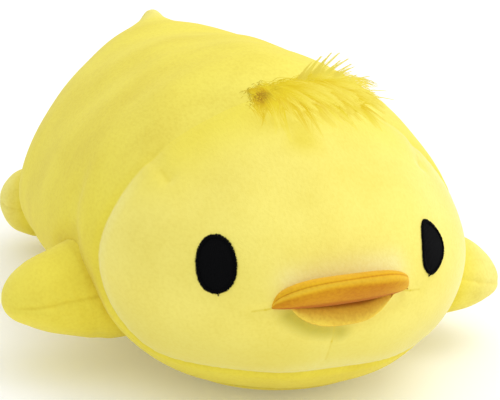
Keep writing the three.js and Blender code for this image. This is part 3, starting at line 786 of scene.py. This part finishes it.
def limb_pad(limb, rows, columns):
    """A limb's skin in its own axes: sections from inside the body to the tip. Each is an oval that is drawn
    to an edge at the panels' seam, tapers outwards, closes in a superellipse and flares at the root."""
    step = np.linspace(0, 1, rows)[:, None]
    out = (limb.reach + LIMB_SINK) * np.sin(np.pi / 2 * step) - LIMB_SINK
    angle = full_turn(columns)
    size = 1 - LIMB_TAPER * np.clip(out / limb.reach, 0, 1)
    size = size * rounding((limb.reach - out) / (LIMB_TIP_ROUND * limb.reach), LIMB_TIP_POWER)
    size[0] = 0
    flare = size * np.exp(-(out + np.hypot(out, LIMB_FLARE_SOFT)) / 2 / LIMB_FLARE)
    half_length = (limb.length * size + (limb.root_length - limb.length) * flare) / 2
    root_thick = np.where(np.sin(angle) > 0, limb.root_top, limb.root_bottom)
    own_thick = limb.thick / 2 * np.where(np.sin(angle) > 0, 1, limb.under)
    half_thick = own_thick * size + (root_thick - own_thick) * flare
    along = half_length * np.cos(angle)
    up = half_thick * signed_power(np.sin(angle), LIMB_EDGE_POWER)
    return np.stack([out + 0 * along, along, up], -1)


def dented_limb(pad, limb, seed):
    """A limb's skin with the seam between its panels drawn in, dimples beside the seam, a fold at the root
    and soft lumps. Each dimple is a share of the reach, a height, a width and a depth."""
    out, along, up = np.moveaxis(pad, -1, 0)
    reached = np.clip(out / limb.reach, 0, 1)
    free = ease((out + 0.014) / 0.01) * (1 - 0.8 * ease((reached - 0.75) / 0.25))
    seam_up = limb.seam_root + (limb.seam_tip - limb.seam_root) * reached
    to_edge = up - seam_up - limb.seam_bow * np.sin(np.pi * reached)
    depth = LIMB_SEAM_DEPTH * free * bell(to_edge, LIMB_SEAM_WIDTH)
    ripple = np.sin(2 * np.pi * (out + 0.6 * np.abs(along)) / LIMB_PUCKER_PITCH + 2 * np.sin(90 * out))
    depth += LIMB_PUCKER * free * ripple * np.exp(-np.abs(to_edge) / LIMB_PUCKER_REACH)
    for place, height, width, deep in LIMB_DIMPLES:
        dimple = np.array([place * limb.reach, -0.42 * limb.length, height])
        depth += deep * bell(np.linalg.norm(pad - dimple, axis=-1), width)
    fold = LIMB_FOLD * [1, limb.length, limb.thick]
    depth += LIMB_FOLD_DEPTH * bell(gap_to(pad, fold), LIMB_FOLD_WIDTH)
    lift = LIMB_UNEVEN * unevenness(pad, seed) * free
    shade = bell(to_edge, LIMB_LINE_WIDTH) * free
    return pad + (lift - depth)[..., None] * outward(pad), shade


for body, limb, mirror, seed, panels in (
        ("wing_left", LEFT_WING, np.ones(3), 11, ("upper", "lower")),
        ("wing_right", WING, MIRROR, 11, ("upper", "lower")),
        ("foot_left", FOOT, np.ones(3), 12, ("upper", "sole")),
        ("foot_right", FOOT, MIRROR, 12, ("upper", "sole"))):
    pad = limb_pad(limb, LIMB_ROWS, LIMB_COLUMNS)
    rough = limb_pad(limb, COARSE_LIMB_ROWS, COARSE_LIMB_COLUMNS)
    held = np.zeros(rough.shape[:2], bool)
    held[:, [0, COARSE_LIMB_COLUMNS // 2]] = True
    held |= rough[..., 0] < LIMB_HELD
    row_places = np.linspace(0, COARSE_LIMB_ROWS - 1, LIMB_ROWS)
    pad = pad + swelling(rough, held, LIMB_SWELL_CAP, row_places, LIMB_COLUMNS)
    pad, seam_line = dented_limb(pad, limb, seed)
    root, axes = limb_frame(limb)
    points = (root + pad @ axes) * mirror
    proud = np.abs(points[..., 0]) - side_of_bag(points[..., 1] - NOSE, points[..., 2])
    root_line = bell(proud - ROOT_LINE_AT, ROOT_LINE_WIDTH)
    shade = limb.seam_shade * seam_line + 0.2 * np.nan_to_num(root_line)
    if mirror[0] < 0:
        points, shade = points[:, ::-1], shade[:, ::-1]
    # Painted sheen: each limb is tinted paler towards its tip, most on the wing on the toy's left.
    painted_sheen = limb.painted_sheen * ease(pad[..., 0] / (0.7 * limb.reach))
    nodes = [f"{body}_{part}" for part in (*panels, "fill")]
    piece = add_skin(
        f"{body}_pad", points, (True, True), {"crease": shade, "painted_sheen": painted_sheen}, body_cloth, None,
        "body_cloth", *nodes)
    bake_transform(piece)

# Beak
# Two stuffed bills of orange plush, each a top and a lining sewn round the front edge and set into the face.
# They stand open: the upper one tilts up so that its lining shows, and the short lower one tilts down.
# In each bill, lining_shade sets painted shade on the lining, mouth a red line in the gap that is partly
# painted shade, band a painted highlight on the front edge, and paling a paler tone that is partly painted
# light.
BILLS = {
    "beak_upper": SimpleNamespace(
        side=1, aside=BEAK_ASIDE, width=0.0755, reach=0.025, thick=0.0135, tilt=np.radians(31),
        corner_lift=(0.0004, 0.0012), blunt=0.3, fine=0.35, end_swell=0.36, lining_shade=0.5,
        mouth=0.9, mouth_from=-0.2, band=0.3, paling=0.0, panels=("top", "lining")),
    "beak_lower": SimpleNamespace(
        side=-1, aside=0.0034, width=0.058, reach=0.0088, thick=0.0082, tilt=np.radians(30),
        corner_lift=(0.0, 0.0), blunt=-0.9, fine=0.0, end_swell=0.6, lining_shade=0.0,
        mouth=0.75, mouth_from=-0.47, band=0.0, paling=0.9, panels=("lining", "under")),
}
BILL_ROWS, BILL_COLUMNS = 120, 96
BILL_SINK, BILL_POWER, BILL_GAP = 0.016, 2.6, -0.0004
BILL_SEAM_TURN, BILL_SEAM_DEPTH, BILL_SEAM_WIDTH, BILL_STITCH = 0.22, 0.00055, 0.0007, 0.0024
BILL_UNEVEN, BILL_SHEEN = 0.00035, 0.2
FACE_DEPTH_REACH, FACE_DEPTH_STEPS = 0.08, 400
BEAK_ROLL, BEAK_DROP = np.radians(2.8), 0.0005
BEAK_ORANGE, BEAK_DEEP = linear(238, 186, 34), linear(186, 104, 12)
BEAK_PALE_PAINTED_LIGHT, BEAK_BLOOM = linear(251, 224, 88), linear(255, 226, 150)
MOUTH_RED_AND_SHADE = linear(150, 62, 6)


def face_depth(across):
    """Distance from the nose to the face at the mouth's level, at distances from the middle plane."""
    places = np.linspace(0, FACE_DEPTH_REACH, FACE_DEPTH_STEPS)
    return np.interp(np.abs(across), section(places)[0], places)


def bill_skin(bill):
    """A bill as sections across the beak. Each is an oval from inside the face to the front edge, which
    follows a superellipse. The bill thins to its ends as end_swell says; more blunt makes its left end
    rounder and more fine its right end more pointed. It tilts, follows the face's curve, and its right and
    left corners lift."""
    place = np.sin(np.pi / 2 * np.linspace(-1, 1, BILL_ROWS))[:, None]
    angle = full_turn(BILL_COLUMNS)
    edge = np.maximum(1 - np.abs(place) ** BILL_POWER, 0)
    point = 1 - bill.blunt * ease(place / 0.6)
    front = bill.reach * edge ** (0.7 * (point + bill.fine * ease(-place / 0.6)))
    sink, swell = BILL_SINK * edge**0.4, edge ** (bill.end_swell * point)
    along = (front + sink) / 2 * np.cos(angle) - (front - sink) / 2
    height = bill.thick / 2 * swell * np.sin(angle)
    across = bill.aside + bill.width / 2 * place + 0 * along
    tilt = bill.side * bill.tilt
    depth = along * np.cos(tilt) + height * np.sin(tilt)
    rise = height * np.cos(tilt) - along * np.sin(tilt)
    rise = rise + bill.side * (bill.thick / 2 * swell / np.cos(tilt) + BILL_GAP)
    corner = np.clip((np.abs(place) - 0.78) / 0.22, 0, 1) ** 2
    corner = corner * np.where(place < 0, *bill.corner_lift)
    rise = NOSE_LEVEL - BEAK_DROP + rise + across * np.tan(BEAK_ROLL) + corner
    return np.stack([across, NOSE + face_depth(across) + depth, rise], -1), angle + 0 * along


beak_cloth = plush(
    "beak_plush", BEAK_ORANGE, BEAK_DEEP, BEAK_BLOOM, BILL_SHEEN,
    tints=(("pale_and_painted_light", BEAK_PALE_PAINTED_LIGHT), ("mouth", MOUTH_RED_AND_SHADE)))
lower = BILLS["beak_lower"]
for name, bill in BILLS.items():
    points, angle = bill_skin(bill)
    from_seam = (angle - np.pi + bill.side * BILL_SEAM_TURN) * (bill.reach + BILL_SINK) / 3
    groove = bell(from_seam, BILL_SEAM_WIDTH)
    stitches = 0.7 + 0.3 * np.cos(2 * np.pi * points[..., 0] / BILL_STITCH)
    lift = BILL_UNEVEN * unevenness(points, 21) - BILL_SEAM_DEPTH * groove * stitches
    points = points + lift[..., None] * outward(points)
    backward = np.cos(angle)
    towards_lining = -bill.side * np.sin(angle) * np.where(backward < 0, 1, 2)
    to_left = (points[..., 0] - bill.aside) / (bill.width / 2)
    # Painted shade on the upper bill's lining, lighter towards its right end.
    lining = bill.lining_shade * (1 - 0.6 * ease((to_left - 0.5) / 0.4))
    lining = lining * ease((towards_lining - 0.25) / 0.3)
    # The mouth tint is a dark red line in the gap between the bills, partly the cloth's colour and partly
    # painted shade.
    over_lower = ease((lower.width / 2 + 0.002 - np.abs(points[..., 0] - lower.aside)) / 0.004)
    mouth = bill.mouth * over_lower * ease((backward - bill.mouth_from) / 0.26) * (towards_lining > 0)
    # Painted light: the lower bill is paled, partly its own yellower tone and partly light against the upper
    # bill's shadow, less so towards the mouth; the upper bill gets a painted highlight along its rolled front
    # edge.
    pale_and_painted_light = bill.paling * (1 - 0.35 * ease((backward + 0.95) / 0.5))
    pale_and_painted_light = pale_and_painted_light + bill.band * bell(towards_lining - 0.08, 0.2)
    # The crease darkens the seam groove, is painted shade towards the inside of the mouth, and adds the
    # lining's painted shade.
    crease = 0.6 * groove + 0.9 * ease((backward + 0.3) / 0.6) + lining
    nodes = [f"{name}_{part}" for part in (*bill.panels, "fill")]
    piece = add_skin(
        name + "_pad", points, (True, True), {"crease": crease, "mouth": mouth, "pale_and_painted_light": pale_and_painted_light}, beak_cloth,
        "body", "beak_cloth", *nodes)

# Eyes
# Each eye is an embroidered oval of black thread: rows of fill stitches, then a raised border of short satin
# stitches laid across its edge, with the thread's end left as a small point at the bottom.
EYE_SPACING = 0.121
EYE_WIDTH, EYE_HEIGHT, EYE_POWER = 0.0235, 0.032, 2.1
EYES = {
    "left": SimpleNamespace(sign=1, level=0.098, lean=np.radians(32), bend=0.0044, taper=0.6),
    "right": SimpleNamespace(sign=-1, level=0.0975, lean=np.radians(19), bend=0.0, taper=0.0),
}
EYE_ROWS, EYE_COLUMNS, EYE_NEARBY = 26, 96, 0.026
EYE_INSET, EYE_RIM, EYE_DOME, EYE_UNDER = 0.0006, 0.0004, 0.0003, 0.001
BORDER_STITCHES, BORDER_WIDTH, THREAD = 118, 0.0023, 0.00042
STITCH_STEPS, STITCH_SIDES, STITCH_JITTER, STITCH_UNEVEN = 6, 6, 0.2, 0.00018
STITCH_FOOT, STITCH_ARCH, THREAD_END = 0.0003, 0.0005, 0.0014
THREAD_BLACK, THREAD_FUZZ = (0.0008, 0.0008, 0.001, 1), (0.004, 0.004, 0.0045, 1)
THREAD_ROUGHNESS, THREAD_GLOSS = 0.75, 0.04
FIT_DEGREE, SLOPE_STEP = 5, 0.001


def surface_fit(points, axis):
    """The skin's coordinate along one axis as a polynomial of the two others, by least squares."""
    others = [k for k in range(3) if k != axis]
    middle = points.mean(0)[others]
    reach = np.ptp(points, axis=0)[others] / 2

    def terms(first, second):
        first, second = (first - middle[0]) / reach[0], (second - middle[1]) / reach[1]
        powers = [(i, j) for i in range(FIT_DEGREE + 1) for j in range(FIT_DEGREE + 1 - i)]
        return np.stack([first**i * second**j for i, j in powers], -1)

    weights = np.linalg.lstsq(terms(*points[:, others].T), points[:, axis], rcond=None)[0]
    return lambda first, second: terms(first, second) @ weights


def slopes(surface, first, second):
    """A fitted surface's slopes along its two axes, by central differences."""
    step = SLOPE_STEP
    return (
        (surface(first + step, second) - surface(first - step, second)) / (2 * step),
        (surface(first, second + step) - surface(first, second - step)) / (2 * step))


def oval_patch(half_width, half_height, power, rows, columns, rim, dome, under):
    """A closed flat oval as across, up and height: rings from the middle of its domed top, over the rim, to
    the middle of its underside."""
    front = np.sin(np.pi / 2 * np.linspace(0, 1, rows))
    share = np.append(front, front[-2::-1])[:, None]
    angle = -full_turn(columns)
    top = rim + dome * (1 - front**4)
    height = np.append(top, np.full(rows - 1, -under))[:, None] + 0 * angle
    across = half_width * share * signed_power(np.cos(angle), 2 / power)
    upward = half_height * share * signed_power(np.sin(angle), 2 / power)
    return np.stack([across, upward, height], -1)


def tubes(path, radius, sides, up, flatness=1.0):
    """Thin closed tubes round many paths at once, as points, quads and end triangles. The paths are an array
    of strands by steps, and each step's ring stands square to the path, flattened towards up."""
    strands, steps = path.shape[:2]
    tangent = unit(np.gradient(path, axis=1))
    beside = unit(np.cross(tangent, up))
    above = np.cross(beside, tangent)
    angle = full_turn(sides)
    ring = np.cos(angle)[:, None] * beside[..., None, :]
    ring = ring + flatness * np.sin(angle)[:, None] * above[..., None, :]
    points = path[..., None, :] + np.broadcast_to(radius, path.shape[:2])[..., None, None] * ring
    first = (np.arange(strands)[:, None] * steps + np.arange(steps - 1)) * sides
    here = first[..., None] + np.arange(sides)
    beside = first[..., None] + (np.arange(sides) + 1) % sides
    quads = np.stack([here, here + sides, beside + sides, beside], -1).reshape(-1, 4)
    root = (np.arange(strands) * steps * sides)[:, None]
    tip = root + (steps - 1) * sides
    fan = np.stack([np.zeros(sides - 2, int), np.arange(1, sides - 1), np.arange(2, sides)], 1)
    ends = np.concatenate([root[..., None] + fan, tip[..., None] + fan[:, ::-1]])
    return points.reshape(-1, 3), quads, ends.reshape(-1, 3)


def joined(*parts):
    """Several sets of points, quads and triangles as one."""
    starts = np.cumsum([0] + [len(part[0]) for part in parts])
    faces = [np.vstack([part[k] + start for part, start in zip(parts, starts)]) for k in (1, 2)]
    return np.vstack([part[0] for part in parts]), *faces


def thread_material():
    """Black embroidery thread with a faint satin gloss and rows of fill stitches."""
    made, tree, shader = new_material("eye_thread", THREAD_ROUGHNESS, THREAD_GLOSS)
    where = add_node(tree, "TexCoord").outputs["Object"]
    rows = add_node(
        tree, "TexWave", {"bands_direction": "X"}, Vector=where, Scale=330.0, Distortion=1.5)
    fuzz = add_node(tree, "TexNoise", Vector=where, Scale=1500.0)
    relief = add_node(tree, "Bump", Strength=0.5, Distance=0.0003, Height=rows.outputs["Fac"])
    tone = mixed(tree, fuzz.outputs["Fac"], THREAD_BLACK, THREAD_FUZZ)
    tree.links.new(tone, shader.inputs["Base Color"])
    tree.links.new(relief.outputs[0], shader.inputs["Normal"])
    return made


eye_thread = thread_material()
for side, eye in EYES.items():
    middle = np.array([eye.sign * EYE_SPACING / 2, eye.level])
    nearby = face_points.reshape(-1, 3)
    nearby = nearby[np.linalg.norm(nearby[:, [0, 2]] - middle, axis=1) < EYE_NEARBY]
    face_at = surface_fit(nearby, 1)
    slope_across, slope_up = slopes(face_at, *middle)
    normal = unit(np.array([slope_across, -1, slope_up]))
    beside = unit(np.array([1, slope_across, 0]))
    lean = eye.sign * eye.lean
    beside, upward = (
        np.cos(lean) * beside - np.sin(lean) * np.cross(normal, beside),
        np.sin(lean) * beside + np.cos(lean) * np.cross(normal, beside))
    centre = np.array([middle[0], face_at(*middle), middle[1]])

    def on_face(local):
        """Points given as across, up and height over the face, in the frame. The stuffing may pull an oval
        out of shape: its axis bends, and its outer side is drawn in towards the bottom."""
        across, up = local[..., :1], local[..., 1:2]
        rise = up / (EYE_HEIGHT / 2)
        drawn = np.where(across > 0, eye.taper * ease((0.9 - rise) / 1.8), 0)
        bent = across * (1 - drawn) + eye.bend * (0.3 - rise**2)
        flat = centre + bent * beside + up * upward
        flat[..., 1] = face_at(flat[..., 0], flat[..., 2])
        return flat + local[..., 2:] * normal

    ground = oval_patch(
        EYE_WIDTH / 2 - EYE_INSET, EYE_HEIGHT / 2 - EYE_INSET, EYE_POWER, EYE_ROWS, EYE_COLUMNS, EYE_RIM,
        EYE_DOME, EYE_UNDER)
    ground_mesh = grid_parts(on_face(ground), True, True)
    draw = np.random.default_rng(31)
    jitter = draw.uniform(-STITCH_JITTER, STITCH_JITTER, BORDER_STITCHES)
    turn = 2 * np.pi * (np.arange(BORDER_STITCHES) + jitter) / BORDER_STITCHES
    outer = np.stack([
        EYE_WIDTH / 2 * signed_power(np.cos(turn), 2 / EYE_POWER),
        EYE_HEIGHT / 2 * signed_power(np.sin(turn), 2 / EYE_POWER)], -1)
    radial = unit(outer)
    share = np.linspace(0, 1, STITCH_STEPS)[None, :, None]
    reach = draw.uniform(-STITCH_UNEVEN, STITCH_UNEVEN, (BORDER_STITCHES, 1, 1))
    reach[np.argmin(outer[:, 1])] = THREAD_END
    run = outer[:, None] + radial[:, None] * (reach - BORDER_WIDTH * (1 - share))
    arch = STITCH_FOOT + STITCH_ARCH * np.sin(np.pi * np.clip(share * 1.05, 0, 1)) + 0 * run[..., :1]
    path = on_face(np.concatenate([run, arch], -1))
    taper = THREAD * (1 - 0.45 * np.abs(2 * share[..., 0] - 1) ** 3)
    border_mesh = tubes(path, taper, STITCH_SIDES, normal)
    mesh = mesh_of(f"eye_{side}_stitching", *joined(ground_mesh, border_mesh))
    add_piece(f"eye_{side}_stitching", mesh, eye_thread, "body", "eye_thread", f"eye_{side}")

# Tuft
# A strip of long-pile fur sewn into the face seam on the crown. Its brown-gold backing shows at one end, and
# the pile is combed forwards and to the toy's left in pointed locks.
TUFT_RIGHT_END, TUFT_LEFT_END = -0.020, 0.036
TUFT_FRONT, TUFT_BACK = 0.096, 0.112
LOCKS, LOCK_STRANDS = 150, 18
LOCK_SPREAD, LOCK_GATHER, STRAND_WAVE = 0.0026, 0.95, 0.0003
LOCK_LENGTH, LOCK_RISE, LOCK_STAND = (0.020, 0.034), (0.0008, 0.002), 0.012
STRAND_STEPS, STRAND_SIDES, STRAND_RADIUS = 8, 3, 0.00017
STRAND_UP, STRAND_FLATNESS = np.array([0.1, -0.3, 1.0]), 0.8
BROWN_LENGTH, PALE_LENGTH, SPIKE_PALING = 0.011, 0.02, 0.55
FUR_ROUGHNESS, FUR_GLOSS = 0.6, 0.12
SPIKE_SHARES, SPIKE_SPREAD, SPIKE_ARCH = (1.0, 0.88, 0.76, 0.64, 0.52), 0.0014, 0.0015
STRIP_WIDTH, STRIP_DEPTH, STRIP_THICK = 0.040, 0.022, 0.0012
STRIP_POWER, STRIP_RIM, STRIP_DOME = 4.0, 0.0003, 0.0006
STRIP_ROWS, STRIP_COLUMNS = 40, 160
CROWN_AT, CROWN_LEVEL, CROWN_HALF_WIDTH, CROWN_HALF_LENGTH = -0.105, 0.10, 0.085, 0.065
STRIP_MIDDLE, BARE_SPOT = (0.0, -0.104), (-0.0158, -0.1025)
FUR_YELLOW, FUR_GOLD, FUR_ROOT = linear(232, 211, 36), linear(218, 180, 8), linear(140, 66, 2)
FUR_TIP, STRIP_GOLD = linear(246, 232, 104), linear(232, 200, 50)
SPIKES = np.array([
    [0.012, 0.0155, 0.0010, 0.0212], [0.014, 0.0190, -0.0005, 0.0198], [0.016, 0.0215, -0.0025, 0.0172],
    [0.020, 0.0205, -0.0035, 0.0138], [0.025, 0.0240, -0.0060, 0.0095], [0.031, 0.0270, -0.0090, 0.0035],
    [0.036, 0.0265, -0.0095, 0.0002]])

crown_points = skin.reshape(-1, 3)
crown_points = crown_points[
    (np.abs(crown_points[:, 0]) < CROWN_HALF_WIDTH) & (crown_points[:, 2] > CROWN_LEVEL)
    & (np.abs(crown_points[:, 1] - CROWN_AT) < CROWN_HALF_LENGTH)]
crown_at = surface_fit(crown_points, 2)


def splayed(run, spread, step, draw):
    """Strands round each lock's path on the crown: they start apart, draw together to the tip and wave."""
    many = (len(run), LOCK_STRANDS, 1, 2)
    apart = draw.normal(0, spread, many) * (1 - LOCK_GATHER * step**1.1)[:, None]
    return run[:, None] + apart + draw.normal(0, STRAND_WAVE, many) * (step**2)[:, None]


def lying_locks(step, draw):
    """Locks that lie on the crown. Each starts in the seam strip and leaves it at an angle that fans from
    forwards at the right end to sideways at the left end, more so at the back, rises a little and settles.
    Locks are longest left of the middle and short round the bare spot."""
    across_share = draw.uniform(0, 1, LOCKS) ** 1.2
    back_share = draw.uniform(0, 1, LOCKS)
    root = np.stack([
        TUFT_RIGHT_END + (TUFT_LEFT_END - TUFT_RIGHT_END) * across_share,
        NOSE + TUFT_FRONT + (TUFT_BACK - TUFT_FRONT) * back_share], -1)
    forwards = -8 + 66 * across_share**1.7
    sideways = 22 + 84 * across_share**0.6
    heading = np.radians(
        forwards + (sideways - forwards) * back_share**1.4 + draw.normal(0, 7, LOCKS))
    from_bare = root - BARE_SPOT
    to_bare = np.hypot(from_bare[:, 0], from_bare[:, 1] * np.where(from_bare[:, 1] > 0, 0.5, 1.0))
    length = draw.uniform(*LOCK_LENGTH, LOCKS) * (0.12 + 0.88 * ease(to_bare / 0.011))
    length = length * (1 - 0.35 * ease((across_share - 0.45) / 0.35) * (1 - back_share))
    bend = heading[:, None] + np.radians(draw.normal(4, 12, LOCKS))[:, None] * step
    stride = np.stack([np.sin(bend), -np.cos(bend)], -1) * (length / (STRAND_STEPS - 1))[:, None, None]
    run = root[:, None] + np.cumsum(stride, 1) - stride[:, :1]
    rise = draw.uniform(*LOCK_RISE, LOCKS) + 0.005 * back_share * across_share
    stand = LOCK_STAND * ease((across_share - 0.1) / 0.3) * back_share**1.5
    stand = stand + draw.uniform(-0.001, 0.001, LOCKS)
    lift = rise[:, None] * np.sin(np.pi * step**0.75) + stand[:, None] * step**1.3 + 0.0006
    strands = splayed(run, LOCK_SPREAD, step, draw)
    loft = draw.uniform(0.85, 1.12, (LOCKS, LOCK_STRANDS, 1))
    raised = np.maximum(lift[:, None] * loft, 0.0004 * step) - 0.001 * (step == 0)
    height = crown_at(strands[..., 0], strands[..., 1]) + raised
    return np.concatenate([strands, height[..., None]], -1)


def standing_locks(step, draw):
    """Pointed locks that stand up at the back of the strip, each from its row's place across the crown to
    a tip so far aside, back and up, along a low arch; shorter ones stand beside each."""
    share = np.repeat(SPIKE_SHARES, len(SPIKES))[:, None]
    row = np.tile(SPIKES, (len(SPIKE_SHARES), 1))
    row[:, 0] += draw.normal(0, 0.004, len(row)) * (share[:, 0] < 1)
    root = np.stack([row[:, 0], NOSE + TUFT_BACK - draw.uniform(0, 0.004, len(row))], -1)
    run = root[:, None] + (share * row[:, 1:3])[:, None] * step[:, None]
    strands = splayed(run, SPIKE_SPREAD, step, draw)
    arch = share * (row[:, 3:] * step + SPIKE_ARCH * np.sin(np.pi * step))
    height = crown_at(*root.T)[:, None] - 0.001 + arch
    height = np.maximum(height[:, None], crown_at(strands[..., 0], strands[..., 1]) + 0.0004 * step - 0.0006)
    return np.concatenate([strands, height[..., None]], -1)


def fur_material():
    """Fur that runs from a brown-gold root through yellow to a pale tip, each strand with its own tone."""
    made, tree, shader = new_material("tuft_fur", FUR_ROUGHNESS, FUR_GLOSS)
    tone = mixed(tree, kept_value(tree, "tone"), FUR_YELLOW, FUR_GOLD)
    lower = mixed(tree, kept_value(tree, "rooted"), tone, FUR_ROOT)
    paling = ranged(tree, kept_value(tree, "along"), 0.4, 1.0, 0.0, 0.8)
    tree.links.new(mixed(tree, paling, lower, FUR_TIP), shader.inputs["Base Color"])
    return made


def from_bare_spot(points):
    """Distance over the crown from the spot where the backing shows."""
    return np.hypot(points[..., 0] - BARE_SPOT[0], points[..., 1] - BARE_SPOT[1])


draw = np.random.default_rng(41)
strip = oval_patch(
    STRIP_WIDTH / 2, STRIP_DEPTH / 2, STRIP_POWER, STRIP_ROWS, STRIP_COLUMNS, STRIP_RIM, STRIP_DOME,
    STRIP_THICK)
strip[..., :2] += STRIP_MIDDLE
strip[..., 2] += crown_at(strip[..., 0], strip[..., 1])
speckled = ease(1.5 - from_bare_spot(strip) / 0.004) * draw.uniform(0.2, 1, strip.shape[:2])
backing_cloth = plush("tuft_backing", STRIP_GOLD, FUR_GOLD, BLOOM, 0.0, tints=(("deepen", FUR_ROOT),))
add_skin(
    "tuft_strip", strip, (True, True), {"deepen": speckled}, backing_cloth, "body", "fur_backing",
    "tuft_backing")

step = np.linspace(0, 1, STRAND_STEPS)
locks = np.concatenate([lying_locks(step, draw), standing_locks(step, draw)])
paths = locks.reshape(-1, STRAND_STEPS, 3)
tones = draw.uniform(0, 0.7, (len(locks), 1)) + draw.uniform(0, 0.3, (len(locks), LOCK_STRANDS))
thickness = STRAND_RADIUS * (1 - 0.8 * step**2)
fur_mesh = mesh_of("tuft_fur", *tubes(paths, thickness, STRAND_SIDES, STRAND_UP, STRAND_FLATNESS))
each_strand = (len(paths), STRAND_STEPS, STRAND_SIDES)
# The fur is lit as the crown below it is, so that its locks don't look like wires.
slope_across, slope_along = slopes(crown_at, paths[..., 0], paths[..., 1])
combed = np.stack([-slope_across, -slope_along, np.ones_like(slope_across)], -1)
combed = np.broadcast_to(combed[:, :, None], (*each_strand, 3)).reshape(-1, 3)
fur_mesh.normals_split_custom_set_from_vertices(unit(combed))
brown = ease(1.6 - from_bare_spot(paths[:, 0]) / 0.0042) * draw.uniform(0.5, 1, len(paths))
grown = np.linalg.norm(paths - paths[:, :1], axis=-1)
rooted = (0.08 + 0.92 * brown)[:, None] * ease(1 - grown / BROWN_LENGTH)
# Short strands have no pale tip, and the standing locks are pale nearly from the root.
along = step * np.clip(grown[:, -1:] / PALE_LENGTH, 0, 1)
standing = along[LOCKS * LOCK_STRANDS:]
standing[:] = SPIKE_PALING + (1 - SPIKE_PALING) * standing
for label, values in (("tone", tones.reshape(-1, 1)), ("along", along), ("rooted", rooted)):
    point_values(fur_mesh, label, np.broadcast_to(values[..., None], each_strand))
tuft_fur = add_piece("tuft_fur", fur_mesh, fur_material(), "body", "fur_pile", "tuft_pile")
# Fine fibre lets light through, so it neither shades nor tints the cloth under it.
tuft_fur.visible_shadow = False
tuft_fur.visible_diffuse = False

# Studio
# A plain white floor under soft light from the upper right, and the camera where the photograph was taken.
FLOOR_REACH, PAPER_GLOSS, PAPER_GLOW = 6, 0.5, 0.14
SKY_HEADING, SKY_DIM, SKY_BRIGHT, SKY_COLOUR = (0.52, 0.06, 0.852), 0.14, 1.28, (0.97, 0.985, 1, 1)
KEY_PLACE, KEY_AIM, KEY_COLOUR = (1.0, -0.2, 2.1), (0, 0, 0.08), (1, 0.985, 0.95)
KEY_SIZE, KEY_POWER = 1.4, 9
CAMERA_PLACE, CAMERA_AIM = (-0.38949, -1.29122, 0.49962), (0.00555, -0.02357, 0.0805)
CAMERA_ROLL, CAMERA_LENS = np.radians(1.885), 168.14

corners = [(x * FLOOR_REACH, y * FLOOR_REACH, 0) for x, y in ((-1, -1), (1, -1), (1, 1), (-1, 1))]
floor_mesh = bpy.data.meshes.new("floor")
floor_mesh.from_pydata(corners, [], [(0, 1, 2, 3)])
floor = bpy.data.objects.new("floor", floor_mesh)
scene.collection.objects.link(floor)
paper, _, shader = new_material("paper", 1.0, PAPER_GLOSS)
shader.inputs["Base Color"].default_value = (0.9, 0.9, 0.9, 1)
shader.inputs["Emission Color"].default_value = (1, 1, 1, 1)
shader.inputs["Emission Strength"].default_value = PAPER_GLOW
floor_mesh.materials.append(paper)

world = bpy.data.worlds.new("studio")
scene.world = world
world.use_nodes = True
tree = world.node_tree
heading = add_node(tree, "TexCoord").outputs["Generated"]
towards = add_node(tree, "VectorMath", {"operation": "DOT_PRODUCT"}, n0=heading, n1=SKY_HEADING)
glow = ranged(tree, towards.outputs["Value"], -1.0, 1.0, SKY_DIM, SKY_BRIGHT)
tree.links.new(glow, tree.nodes["Background"].inputs["Strength"])
tree.nodes["Background"].inputs["Color"].default_value = SKY_COLOUR


def add_aimed(name, data, place, aim, roll=0.0):
    """A light or a camera that faces a point, rolled about its own axis."""
    made = bpy.data.objects.new(name, data)
    scene.collection.objects.link(made)
    made.location = place
    made.rotation_mode = "QUATERNION"
    facing = (Vector(aim) - Vector(place)).to_track_quat("-Z", "Y")
    made.rotation_quaternion = facing @ Quaternion((0, 0, 1), roll)
    return made


key = bpy.data.lights.new("key", "AREA")
key.size, key.energy, key.color = KEY_SIZE, KEY_POWER, KEY_COLOUR
add_aimed("key", key, KEY_PLACE, KEY_AIM)
lens = bpy.data.cameras.new("camera")
lens.lens = CAMERA_LENS
scene.camera = add_aimed("camera", lens, CAMERA_PLACE, CAMERA_AIM, CAMERA_ROLL)
scene.view_settings.view_transform = "Standard"
